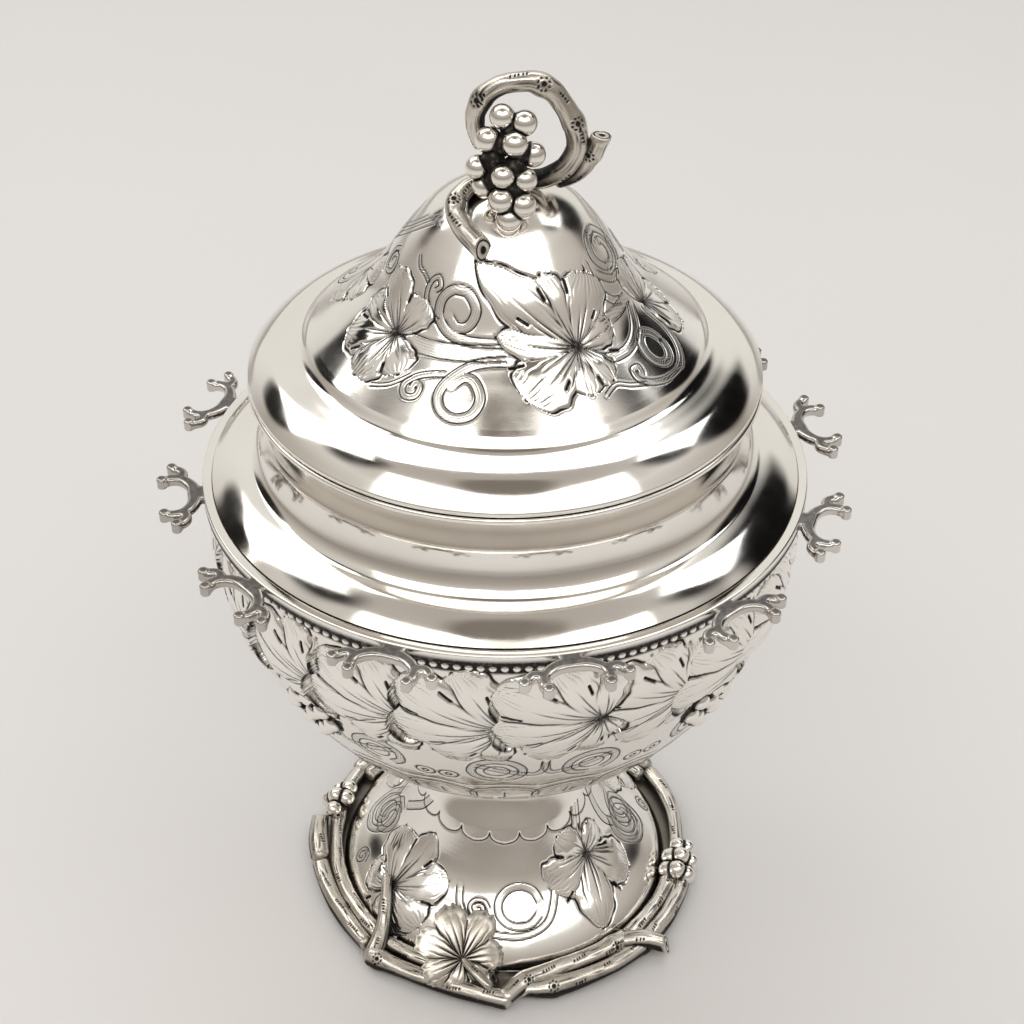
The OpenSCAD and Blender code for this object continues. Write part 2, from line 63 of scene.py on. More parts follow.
def low(node, axis):
    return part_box(node)[0][axis] / MM


def high(node, axis):
    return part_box(node)[1][axis] / MM


X, Z = 0, 2
SHEET = 1.0
# The film of solder between two pieces.
SOLDER = 0.02
bowl_r, bowl_top = high("bowl_body", X), high("bowl_body", Z)
lip_r, lip_low, lip_top = high("edge_moulding", X), low("edge_moulding", Z), high("edge_moulding", Z)
neck_top = high("shoulder_and_neck", Z)
mouth_r, mouth_low, mouth_top = high("mouth_wire", X), low("mouth_wire", Z), high("mouth_wire", Z)
foot_r, foot_low, foot_top = high("foot_dome", X), low("foot_dome", Z), high("foot_dome", Z)
apron_r, apron_t = high("foot_apron", X), high("foot_apron", Z)
stem_base_r, stem_low, stem_high = high("stem", X), low("stem", Z), high("stem", Z)
lid_r, brim_low, crown = high("lid_cover", X), low("lid_cover", Z), high("lid_cover", Z)
wire_low, wire_top = low("lid_edge_wire", Z), high("lid_edge_wire", Z)
BOWL_DEPTH = 82.0
NECK_FOOT_R, NECK_WAIST_R, NECK_H, SHOULDER_RISE = 63.2, 58.9, 20.6, 5.0
STEM_R, STEM_TOP_R = 17.6, 21.0
DOME_R, BRIM_RISE = 47.6, 9.0
BOWL_RIM_H = 11.2
bowl_mid = bowl_top - BOWL_RIM_H
neck_foot = neck_top - NECK_H
ring_z = brim_low + BRIM_RISE
dome_h = crown - ring_z
print(f"bowl {2 * bowl_r:.1f} across, shoulder at {lip_top:.1f}, crown of the lid at {crown:.1f}")

# %% [markdown]
# ## The camera
# A portrait lens looks down on the bowl by 37 degrees, from near enough that the lid, being
# closer, looks almost as wide as the shoulder. The camera is made first so that nothing later
# depends on it.

# %% Camera
LENS, SENSOR = 64.05, 36.0
CAMERA_AT = Vector((0.0, -0.3754, 0.4141))
PITCH, YAW, ROLL = 37.3, -0.27, 0.28
camera = bpy.data.objects.new("camera", bpy.data.cameras.new("camera"))
bpy.context.scene.collection.objects.link(camera)
camera.data.lens, camera.data.sensor_width = LENS, SENSOR
camera.location = CAMERA_AT
turn = Matrix.Rotation(math.radians(YAW), 4, "Z") @ Matrix.Rotation(math.radians(90 - PITCH), 4, "X")
camera.rotation_euler = (turn @ Matrix.Rotation(math.radians(ROLL), 4, "Z")).to_euler()
bpy.context.scene.camera = camera
print("camera at", tuple(round(v, 3) for v in camera.location))

# %% [markdown]
# ## Finishes
# A material in Blender is a small tree of nodes. One helper adds a node, sets what it is given and
# links what it is given, so each finish below reads as a short list. Colours are written as the
# hex values that a paint program shows, and one function turns them to the linear light that the
# shader works in.


# %% Colour and node helpers
def linear(hex_colour):
    parts = [int(hex_colour[i : i + 2], 16) / 255 for i in (1, 3, 5)]
    return tuple(c / 12.92 if c <= 0.04045 else ((c + 0.055) / 1.055) ** 2.4 for c in parts) + (1.0,)


def add(tree, kind, settings=None, links=None, **values):
    node = tree.nodes.new(kind)
    for key, value in (settings or {}).items():
        setattr(node, key, value)
    for socket, value in values.items():
        node.inputs[socket.replace("_", " ")].default_value = value
    for socket, source in (links or {}).items():
        tree.links.new(source, node.inputs[socket])
    return node


# %% [markdown]
# ## Silver
# Sterling silver is the whitest of the metals, a little warm, and takes a mirror polish. What
# makes it read as old silver is what is left on it: black oxide packed into every cut line and
# hollow, a faint net of wipe marks that blurs the reflections unevenly, and broad shallow waves
# that the planishing hammer left. The oxide is an attribute that the chasing code writes where a
# tool would have cut, so colour and relief always agree. The same attribute also carries painted
# shade, on the undersides of the vine and the finial, round the leaves, between beads and grapes
# and under the shoulder's edge, and a painted dark reflection on the flats of the rests.


# %% The silver finish
# How far apart the marks lie, in millimetres: a wiping cloth's strokes, clouds of tarnish, specks of
# dirt in a hollow, and the blows of a planishing hammer. The last is how deep the fine grain is.
WIPE_MM, CLOUD_MM, SPECK_MM, HAMMER_MM, GRAIN_DEPTH_MM = 9, 34, 1.1, 16, 0.1


def silver(name, metal, oxide_and_shade, gloss, wear, wave_mm=0.0, grain_mm=0.35, grain=0.02, film=0.0):
    """A silver material. gloss and wear are the roughness where it is rubbed and where it isn't.
    film is how much of a thin tarnished skin lies over all of it."""
    material = bpy.data.materials.new(name)
    material.use_nodes = True
    tree = material.node_tree
    tree.nodes.clear()
    place = add(tree, "ShaderNodeTexCoord").outputs["Object"]
    # The oxide attribute: real oxide in the cut lines and hollows, and the painted shade and painted
    # reflection that some pieces write into it.
    mark = add(tree, "ShaderNodeAttribute", {"attribute_name": "oxide_and_shade"}).outputs["Fac"]
    oxide_and_shade_mask = add(tree, "ShaderNodeMapRange", {"interpolation_type": "SMOOTHSTEP"}, {"Value": mark})
    oxide_and_shade_mask.inputs["From Min"].default_value, oxide_and_shade_mask.inputs["From Max"].default_value = 0.1, 0.72
    oxide_and_shade_mask = oxide_and_shade_mask.outputs["Result"]
    wipes = add(tree, "ShaderNodeTexNoise", links={"Vector": place}, Scale=1 / (WIPE_MM * MM), Detail=4.0)
    cloud = add(
        tree, "ShaderNodeTexNoise", links={"Vector": place}, Scale=1 / (CLOUD_MM * MM), Detail=3.0
    )
    tint = add(tree, "ShaderNodeValToRGB", links={"Fac": cloud.outputs["Fac"]})
    tint.color_ramp.elements[0].position, tint.color_ramp.elements[1].position = 0.35, 0.7
    tint.color_ramp.elements[0].color = linear(metal[0])
    tint.color_ramp.elements[1].color = linear(metal[1])
    speck = add(
        tree, "ShaderNodeTexNoise", links={"Vector": place}, Scale=1 / (SPECK_MM * MM), Detail=5.0
    )
    thick = add(tree, "ShaderNodeMath", {"operation": "MULTIPLY_ADD"}, {0: speck.outputs["Fac"]})
    thick.inputs[1].default_value, thick.inputs[2].default_value = 0.5, -0.25 + film
    # Dark where the attribute holds oxide and painted shade, and in specks of tarnish.
    dirt_and_shade = add(tree, "ShaderNodeMath", {"operation": "ADD", "use_clamp": True}, {0: oxide_and_shade_mask})
    edge = add(tree, "ShaderNodeMath", {"operation": "MULTIPLY"}, {0: thick.outputs[0]})
    gate = add(tree, "ShaderNodeMath", {"operation": "ADD", "use_clamp": True}, {0: oxide_and_shade_mask})
    gate.inputs[1].default_value = film
    tree.links.new(gate.outputs[0], edge.inputs[1])
    tree.links.new(edge.outputs[0], dirt_and_shade.inputs[1])
    colour = add(tree, "ShaderNodeMix", {"data_type": "RGBA"})
    tree.links.new(dirt_and_shade.outputs[0], colour.inputs["Factor"])
    tree.links.new(tint.outputs["Color"], colour.inputs["A"])
    colour.inputs["B"].default_value = linear(oxide_and_shade)
    rough = add(tree, "ShaderNodeMapRange", links={"Value": wipes.outputs["Fac"]})
    rough.inputs["From Min"].default_value, rough.inputs["From Max"].default_value = 0.3, 0.75
    rough.inputs["To Min"].default_value, rough.inputs["To Max"].default_value = gloss, wear
    matt = add(tree, "ShaderNodeMix", {"data_type": "FLOAT"})
    tree.links.new(dirt_and_shade.outputs[0], matt.inputs["Factor"])
    tree.links.new(rough.outputs["Result"], matt.inputs["A"])
    matt.inputs["B"].default_value = 0.55
    fine = add(tree, "ShaderNodeTexNoise", links={"Vector": place}, Scale=1 / (grain_mm * MM), Detail=3.0)
    relief = add(tree, "ShaderNodeBump", links={"Height": fine.outputs["Fac"]}, Strength=grain)
    relief.inputs["Distance"].default_value = GRAIN_DEPTH_MM * MM
    if wave_mm:
        hammer = add(
            tree, "ShaderNodeTexNoise", links={"Vector": place}, Scale=1 / (HAMMER_MM * MM), Detail=1.0
        )
        waves = add(tree, "ShaderNodeBump", links={"Height": hammer.outputs["Fac"]}, Strength=1.0)
        waves.inputs["Distance"].default_value = wave_mm * MM
        tree.links.new(waves.outputs["Normal"], relief.inputs["Normal"])
    metalness = add(tree, "ShaderNodeMapRange", links={"Value": dirt_and_shade.outputs[0]})
    metalness.inputs["To Min"].default_value, metalness.inputs["To Max"].default_value = 1.0, 0.55
    shader = add(
        tree,
        "ShaderNodeBsdfPrincipled",
        links={
            "Base Color": colour.outputs["Result"],
            "Roughness": matt.outputs["Result"],
            "Metallic": metalness.outputs["Result"],
            "Normal": relief.outputs["Normal"],
        },
    )
    add(tree, "ShaderNodeOutputMaterial", links={"Surface": shader.outputs["BSDF"]})
    return material


# The dark colour of the oxide, also used for the painted shade and painted reflection.
OXIDE_AND_SHADE = "#171210"
BRIGHT = ("#EFECE6", "#F6F4F0")
# Spun and burnished sheet: long clean reflections, only just wavy.
burnished_sheet = silver("burnished_sheet_silver", BRIGHT, OXIDE_AND_SHADE, 0.06, 0.14, wave_mm=0.09)
# Chased sheet: as bright on the ground, with oxide in the lines and a softer skin.
chased_sheet = silver("chased_sheet_silver", BRIGHT, OXIDE_AND_SHADE, 0.09, 0.2, wave_mm=0.12, grain=0.05)
# Drawn wire: pulled through a plate, so it is crisp and bright.
drawn_wire = silver("drawn_silver_wire", BRIGHT, OXIDE_AND_SHADE, 0.06, 0.13)
# Cast and chased branches: granular skin, yellower, dark with oxide where a cloth can't reach and with
# painted shade on their sides and undersides.
cast_bark = silver("cast_silver_bark", ("#CBC5BB", "#E2DED7"), OXIDE_AND_SHADE, 0.16, 0.32, grain=0.35, film=0.05)
# Cast grapes: rubbed by fingers, so brighter than the bark.
cast_grapes = silver("cast_silver_grapes", ("#E9E5DD", "#F3F0EA"), OXIDE_AND_SHADE, 0.13, 0.2, grain=0.08)
# Cast rests: greyer silver, with a painted dark reflection on the flats and bright edges.
rest_silver = silver(
    "cast_silver_rests", ("#B5B1AC", "#DDDAD6"), OXIDE_AND_SHADE, 0.1, 0.2, grain=0.12, film=0.08
)
# The ring under the foot: dark, rough silver.
black_ring = silver("oxidised_silver", ("#7C756C", "#A29B90"), OXIDE_AND_SHADE, 0.3, 0.42, grain=0.5, film=0.25)
print("finishes:", [m.name for m in bpy.data.materials if "silver" in m.name])

# %% [markdown]
# ## Curves and outlines
# A spun piece is one line turned round the axis, so its whole shape is a list of a few points
# with a smooth curve through them. The Outline class measures that curve by the distance along
# it, because a chaser lays out a pattern along the metal and not by height.


# %% Curves
def smooth(points, steps):
    """A smooth curve through the points, with that many steps between each two."""
    p = np.asarray(points, float)
    q = np.vstack([p[:1], p, p[-1:]])
    out = []
    for i in range(len(p) - 1):
        a, b, c, d = q[i : i + 4]
        t = np.arange(steps)[:, None] / steps
        bend = (2 * a - 5 * b + 4 * c - d) * t**2 + (3 * b - a - 3 * c + d) * t**3
        out.append(0.5 * (2 * b + (c - a) * t + bend))
    return np.vstack(out + [p[-1:]])


def lengths(p):
    return np.concatenate([[0], np.cumsum(np.linalg.norm(np.diff(p, axis=0), axis=1))])


class Outline:
    """The outer line of a sheet, as radius and height, measured by the distance s along it."""

    def __init__(self, points, outward=1):
        self.p = np.asarray(points, float)
        self.s = lengths(self.p)
        d = np.gradient(self.p, self.s, axis=0)
        n = np.column_stack([d[:, 1], -d[:, 0]]) * outward
        self.n = n / np.linalg.norm(n, axis=1)[:, None]
        self.length = self.s[-1]

    def at(self, s):
        """Radius, height and outward direction at the distances s."""
        r, z, nr, nz = (np.interp(s, self.s, v) for v in (*self.p.T, *self.n.T))
        return r, z, nr, nz


# %% [markdown]
# ## The chaser's sheet
# Chasing is drawing with punches. To do it in code, a patch of the silver is laid flat as a grid:
# rows follow the outline and columns go round the axis. Each tool stroke lowers or raises the grid
# and marks where oxide would stay. Distances are measured on the metal in millimetres, so a line
# is equally wide near the rim and near the crown. Angles run from the front towards +X.


# %% A patch of sheet and the strokes of the punches
class Patch:
    def __init__(self, outline, s, cols):
        self.outline, self.s, self.cols = outline, s, cols
        self.r = outline.at(s)[0]
        self.height = np.zeros((len(s), cols))
        self.oxide_and_shade = np.zeros((len(s), cols))

    def window(self, angle, s, reach):
        """Rows and columns within reach of the given angles and distances, and each point's place
        there: angle from the first one, distance and millimetres to a degree."""
        angle, s = np.atleast_1d(angle), np.atleast_1d(s)
        rows = np.nonzero((self.s > s.min() - reach) & (self.s < s.max() + reach))[0]
        if not len(rows):
            return None
        wide = math.degrees(reach / max(self.r[rows].min(), 3.0))
        step = 360 / self.cols
        first = math.floor((angle.min() - wide) / step)
        last = math.ceil((angle.max() + wide) / step)
        last = min(last, first + self.cols - 1)
        cols = np.arange(first, last + 1)
        around = cols[None, :] * step - angle[0]
        per_degree = np.radians(self.r[rows])[:, None]
        return np.ix_(rows, cols % self.cols), around, self.s[rows][:, None], per_degree


def stroke_distance(patch, path, reach):
    """How far each point near a path is from it, and how far along the path the nearest place is."""
    path = np.asarray(path, float)
    found = patch.window(path[:, 0], path[:, 1], reach)
    if found is None:
        return None
    where, around, s, per_degree = found
    x = around * per_degree
    near = np.full(x.shape, 1e9)
    along = np.zeros(x.shape)
    run = np.linspace(0, 1, len(path))
    for i in range(len(path) - 1):
        ax = (path[i, 0] - path[0, 0]) * per_degree
        bx = (path[i + 1, 0] - path[0, 0]) * per_degree
        ds = path[i + 1, 1] - path[i, 1]
        dx = bx - ax
        t = ((x - ax) * dx + (s - path[i, 1]) * ds) / (dx * dx + ds * ds + 1e-9)
        t = np.clip(t, 0, 1)
        gap = np.hypot(x - ax - t * dx, s - path[i, 1] - t * ds)
        closer = gap < near
        near = np.where(closer, gap, near)
        along = np.where(closer, run[i] + t * (run[i + 1] - run[i]), along)
    return where, near, along


def cut(patch, path, width=0.45, depth=0.3, dark=1.0, sides=(0.0,), taper=0.08):
    """A line cut along a path, or a pair of lines at each distance in sides from it."""
    found = stroke_distance(patch, path, max(sides) + 3 * width)
    if found is None:
        return
    where, near, along = found
    fade = np.clip(np.minimum(along, 1 - along) / taper + 0.25, 0, 1) if taper else 1.0
    for side in sides:
        tool = np.exp(-(((near - side) / width) ** 2)) * fade
        patch.height[where] -= depth * tool
        patch.oxide_and_shade[where] = np.maximum(patch.oxide_and_shade[where], dark * tool)


def ribbon(patch, points, half=1.1, lift=0.12, lines=2, dark=0.8, steps=8):
    """A flat ribbon of vine tendril: a low raised band with a dark line down each side and finer
    lines between."""
    path = smooth(points, steps)
    found = stroke_distance(patch, path, half + 1.6)
    if found is None:
        return
    where, near, along = found
    fade = np.clip(np.minimum(along, 1 - along) / 0.05, 0, 1)
    patch.height[where] += 0.35 * lift * np.clip(1 - (near / half) ** 4, 0, 1) * fade
    cut(patch, path, 0.22, 0.14, 1.1 * dark, (half,), taper=0.04)
    if lines:
        cut(patch, path, 0.17, 0.06, 0.6 * dark, [half * k / lines for k in range(lines)], taper=0.04)


def ring_path(outline, angle, s, radius, stretch=1.0, start=0.0, turns=1.0, end_radius=None):
    """A circle or a spiral on the metal round a centre, as angles and distances."""
    steps = max(12, int(26 * turns))
    t = np.linspace(0, 1, steps + 1)
    reach = radius + (0 if end_radius is None else (end_radius - radius) * t)
    a = np.radians(start + 360 * turns * t)
    per_degree = math.radians(outline.at(s)[0])
    return np.column_stack([angle + reach * stretch * np.cos(a) / per_degree, s + reach * np.sin(a)])


# %% [markdown]
# ## A vine leaf
# Every leaf here is four to eight lobes that open like a hand from the end of the stalk. Each lobe is
# a teardrop with its own direction, length and width, cushioned in the middle, and the leaf's
# height is the highest of its lobes, which gives the creases between them for nothing. Veins fan
# along each lobe, a dark eye is punched where two lobes part, and a cut line sets the leaf off
# from the ground. The same function makes the big leaves round the bowl and the ones on the lid.


# %% Vine leaf
def lobe_fields(x, y, lobe, pointed):
    """Distance out from a lobe's edge (negative inside), its cushion from 0 to 1, and its own
    coordinates: along from 0 to 1, and across from -1 to 1."""
    direction, length, width = lobe
    c, s = math.cos(math.radians(direction)), math.sin(math.radians(direction))
    u = (x * c + y * s) / length
    v = -x * s + y * c
    inside = np.clip(u, 0, 1)
    if pointed:
        form = 2.3 * inside**0.62 * (1 - inside) ** 0.66
    else:
        form = 1.6 * inside**0.75 * np.sqrt(1 - inside**3)
    frill = 1 + 0.06 * np.sin(inside * 26 + direction) * inside
    half = 0.5 * width * form * frill + 1e-4
    out = np.abs(v) - half
    past = np.hypot(np.maximum(u - 1, 0) * length, v) + 1e-3
    before = np.hypot(np.minimum(u, 0) * length, v)
    out = np.where(u > 1, past, np.where(u < 0, before, out))
    across = np.where(out < 0, v / half, np.sign(v))
    cushion = np.clip(1 - across**2, 0, 1) ** 0.55 * np.clip(1 - inside**6, 0, 1)
    return out, cushion, inside, across


def leaf(patch, base, lobes, height, vein=0.16, pointed=(), shade=1.0, turn=0.0):
    """A leaf with its stalk end at base, as angle and distance."""
    longest = max(lobe[1] for lobe in lobes)
    found = patch.window(base[0] + turn, base[1], longest + 2.5)
    if found is None:
        return
    where, around, s, per_degree = found
    x, y = around * per_degree, s - base[1]
    out = np.full(x.shape, 1e9)
    body = np.zeros(x.shape)
    lines = np.zeros(x.shape)
    second = np.zeros(x.shape)
    for i, lobe in enumerate(lobes):
        edge, cushion, along, across = lobe_fields(x, y, lobe, i in pointed)
        rise = 0.4 + 0.6 * np.sin(np.pi * np.clip(along, 0, 1) ** 0.85)
        top = cushion * rise * (0.8 + 0.2 * lobe[2] / 10)
        taller = (top > body) & (edge < 0)
        half = 0.5 * lobe[2]
        fan = np.zeros(x.shape)
        for k in np.linspace(-0.78, 0.78, 8 if lobe[2] > 9.5 else 6):
            gap = np.abs(across - k) * half * np.clip(1.5 * along + 0.08, 0, 1)
            long = 0.55 + 0.25 * math.sin(9 * k + i)
            fan = np.maximum(fan, np.exp(-((gap / 0.21) ** 2)) * np.clip(4 * (long - along), 0, 1))
        hatch = (0.5 + 0.5 * np.cos(across * half * 5.2 + i)) ** 4
        hatch = hatch * np.clip((along - 0.66 - 0.1 * np.sin(across * 11)) / 0.2, 0, 1)
        second = np.where(taller, body, np.where((edge < 0) & (top > second), top, second))
        body = np.where(taller, top, body)
        lines = np.where(taller, np.maximum(0.95 * fan, 0.62 * hatch), lines)
        out = np.minimum(out, edge)
    far = np.hypot(x, y) / longest
    crease = np.exp(-(((body - second) / 0.07) ** 2)) * np.clip(second * 4, 0, 1)
    crease = crease * np.clip(far * 4 - 0.7, 0, 1)
    lines = np.maximum(lines, crease)
    inside = out < 0
    old = patch.height[where]
    new = height * body - vein * lines
    blend = np.clip(-out / 0.3, 0, 1)
    patch.height[where] = np.where(inside, old * (1 - blend) + new * blend, old)
    dark = patch.oxide_and_shade[where]
    dark = np.where(inside, dark * (1 - blend), dark)
    dark = np.maximum(dark, np.where(inside, 0.75 * lines * shade, 0))
    bite = np.exp(-(((out - 0.2) / 0.36) ** 2))
    # A painted shade on the ground just outside each leaf, fading over about a millimetre.
    leaf_shade_halo = 0.34 * np.exp(-np.clip(out, 0, None) / 1.1) * (out >= 0)
    worn = 0.66 + 0.34 * np.sin(np.radians(around) * 41 + y * 0.55)
    patch.oxide_and_shade[where] = np.maximum(dark, np.maximum(bite * np.clip(worn + 0.25, 0, 1), leaf_shade_halo) * shade)
    patch.height[where] -= 0.34 * bite
    order = sorted(range(len(lobes)), key=lambda i: lobes[i][0] % 360)
    degree = math.radians(patch.outline.at(base[1])[0])
    for i, j in zip(order, order[1:] + order[:1]):
        gap = (lobes[j][0] - lobes[i][0]) % 360
        if gap > 110:
            continue
        middle = math.radians(lobes[i][0] + gap / 2)
        reach = 0.82 * min(lobes[i][1], lobes[j][1])
        ends = np.array([reach * 0.9, reach * 1.1])
        points = np.column_stack(
            [base[0] + turn + ends * math.cos(middle) / degree, base[1] + ends * math.sin(middle)]
        )
        cut(patch, points, 0.36, 0.55, 1.3, taper=0)


print("leaf and ribbon tools ready")

# %% [markdown]
# ## From rings to a mesh
# A turned piece is a stack of rings of points. The rings don't all need the same number of points:
# where a ring of 1200 meets one of 600, each cell of the second takes in two edges of the first.
# The stack runs up the outside, over the rim and down the inside, and closes on itself, so the
# sheet has a true thickness and no open edge.


# %% Rings, skin and pieces
def ring(r, z, cols):
    """One ring of points. The radius and the height may differ from point to point."""
    if cols == 1:
        return np.array([[0.0, 0.0, float(np.mean(z))]])
    a = np.arange(cols) * 2 * math.pi / cols
    r, z = np.broadcast_to(r, (cols,)), np.broadcast_to(z, (cols,))
    return np.column_stack([r * np.sin(a), -r * np.cos(a), z])


def skin(counts, closed):
    """Faces between neighbouring rings, as a list of index arrays that each hold equal polygons."""
    starts = np.concatenate([[0], np.cumsum(counts)])
    pairs = list(zip(range(len(counts) - 1), range(1, len(counts))))
    if closed:
        pairs.append((len(counts) - 1, 0))
    faces = []
    for i, k in pairs:
        a, b = counts[i], counts[k]
        if a == 1 and b == 1:
            continue
        j = np.arange(min(a, b) if min(a, b) > 1 else max(a, b))
        if a == 1 or b == 1:
            n = max(a, b)
            many, one = (i, k) if b == 1 else (k, i)
            pair = [starts[many] + j, starts[many] + (j + 1) % n]
            faces.append(np.column_stack((pair if b == 1 else pair[::-1]) + [np.full(n, starts[one])]))
            continue
        low_steps, high_steps = max(a // b, 1), max(b // a, 1)
        lower = [starts[i] + (j * low_steps + m) % a for m in range(low_steps + 1)]
        upper = [starts[k] + (j * high_steps + m) % b for m in range(high_steps, -1, -1)]
        faces.append(np.column_stack(lower + upper))
    return faces


def build_mesh(name, points, faces):
    mesh = bpy.data.meshes.new(name)
    points = np.asarray(points, np.float64) * MM
    mesh.vertices.add(len(points))
    mesh.vertices.foreach_set("co", points.ravel())
    corners = np.concatenate([f.ravel() for f in faces]).astype(np.int32)
    totals = np.concatenate([np.full(len(f), f.shape[1]) for f in faces]).astype(np.int32)
    mesh.loops.add(len(corners))
    mesh.loops.foreach_set("vertex_index", corners)
    mesh.polygons.add(len(totals))
    mesh.polygons.foreach_set(
        "loop_start", np.concatenate([[0], np.cumsum(totals)[:-1]]).astype(np.int32)
    )
    mesh.polygons.foreach_set("loop_total", totals)
    mesh.polygons.foreach_set("use_smooth", np.ones(len(totals), bool))
    mesh.update(calc_edges=True)
    mesh.validate()
    return mesh


def finish_piece(mesh, name, material, body, nodes, oxide_and_shade=None, sharp=None):
    """Puts a mesh in the scene as a piece of silver that rides on its body for its CAD nodes."""
    if oxide_and_shade is not None:
        mesh.attributes.new("oxide_and_shade", "FLOAT", "POINT").data.foreach_set(
            "value", np.clip(oxide_and_shade, 0, 1).astype(np.float32)
        )
    if sharp:
        mesh.set_sharp_from_angle(angle=math.radians(sharp))
    mesh.materials.clear()
    mesh.materials.append(material)
    piece = bpy.data.objects.new(name, mesh)
    bpy.context.scene.collection.objects.link(piece)
    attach(piece, body)
    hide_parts(*nodes)
    mesh.calc_loop_triangles()
    print(f"{name}: {len(mesh.loop_triangles)} triangles")
    return piece


def turned(name, rings, material, body, nodes, sharp=35, closed=True):
    """A turned piece from a list of (points, oxide) rings."""
    counts = [len(p) for p, _ in rings]
    points = np.vstack([p for p, _ in rings])
    oxide_and_shade = np.concatenate([np.broadcast_to(o, (len(p),)) for p, o in rings])
    mesh = build_mesh(name, points, skin(counts, closed))
    return finish_piece(mesh, name, material, body, nodes, oxide_and_shade, sharp)


def plain_rings(outline, s_values, cols, offset=0.0, oxide_and_shade=0.0, wave=0.0):
    """Smooth rings along an outline, moved in by offset. wave is the height of the shallow waves
    that hand spinning leaves."""
    rings = []
    a = np.arange(cols) * 2 * math.pi / cols
    for s in s_values:
        r, z, nr, nz = outline.at(s)
        ripple = wave * (
            np.sin(3 * a + 0.05 * s) + 0.7 * np.sin(7 * a + 0.3 * s + 1.3)
        ) if cols > 1 else 0
        rings.append((ring(r + (ripple - offset) * nr, z + (ripple - offset) * nz, cols), oxide_and_shade))
    return rings


def chased_rings(outline, bands, draw, wave=0.0):
    """Rings with the chaser's work on them. Each band is (from s, to s, step, columns)."""
    rings = []
    for number, (s0, s1, step, cols) in enumerate(bands):
        count = max(2, round((s1 - s0) / step) + 1)
        s = np.linspace(s0, s1, count)
        if number:
            s = s[1:]
        patch = Patch(outline, s, cols)
        draw(patch)
        a = np.arange(cols) * 2 * math.pi / cols
        for i in range(len(s)):
            r, z, nr, nz = outline.at(s[i])
            ripple = wave * (np.sin(3 * a + 0.05 * s[i]) + 0.7 * np.sin(7 * a + 0.3 * s[i] + 1.3))
            h = patch.height[i] + ripple
            rings.append((ring(r + h * nr, z + h * nz, cols), patch.oxide_and_shade[i]))
    return rings


# %% [markdown]
# ## The lid
# The lid is one sheet: a broad brim that sweeps up from its wire, a soft crease, and a bell-shaped
# dome that carries six leaves, three to a half, joined by tendrils that curl into rings. The dome's
# lower part has the finest grid, because that is where the chasing is. The sheet is cut into four
# closed bands, the brim and three up the dome, so that no one mesh grows too heavy.

# %% Lid outline
brim = smooth(
    [
        (lid_r, brim_low),
        (lid_r - 0.16 * (lid_r - DOME_R), brim_low + 0.26 * BRIM_RISE),
        (lid_r - 0.4 * (lid_r - DOME_R), brim_low + 0.52 * BRIM_RISE),
        (lid_r - 0.68 * (lid_r - DOME_R), brim_low + 0.68 * BRIM_RISE),
        (lid_r - 0.88 * (lid_r - DOME_R), brim_low + 0.8 * BRIM_RISE),
        (DOME_R, ring_z),
    ],
    12,
)
dome_shares = [
    (1, 0),
    (0.905, 0.09),
    (0.8, 0.19),
    (0.7, 0.29),
    (0.625, 0.4),
    (0.54, 0.57),
    (0.44, 0.73),
    (0.33, 0.87),
    (0.18, 0.965),
    (0, 1),
]
dome_points = smooth([(DOME_R * r, ring_z + dome_h * z) for r, z in dome_shares], 12)
brim_line, dome_line = Outline(brim), Outline(dome_points)
print(f"brim {brim_line.length:.1f} mm, dome {dome_line.length:.1f} mm along the metal")

# %% [markdown]
# The pattern goes twice round the dome. Each half has a leaf that opens towards the left, a large
# leaf with one long lobe that climbs the dome, and a narrow one that the next ribbon springs from.
# Two tendrils leave the large leaf's stalk, one above and one below a hatched ribbon.

# %% Chasing on the dome
LEFT_LEAF = [
    (-105, 13.5, 11), (-50, 10.6, 8.8), (-155, 16.5, 11), (174, 15, 9), (128, 15.4, 11), (68, 10.4, 9)
]
TALL_LEAF = [
    (130, 27, 14),
    (103, 18, 9),
    (64, 17, 14),
    (14, 11, 8),
    (-96, 11.5, 7.5),
    (-62, 11, 7.5),
    (-148, 19, 13),
    (166, 18, 10),
]
SIDE_LEAF = [(-64, 12.5, 9), (-22, 12, 9), (35, 12, 9.5), (82, 11.5, 9.5)]


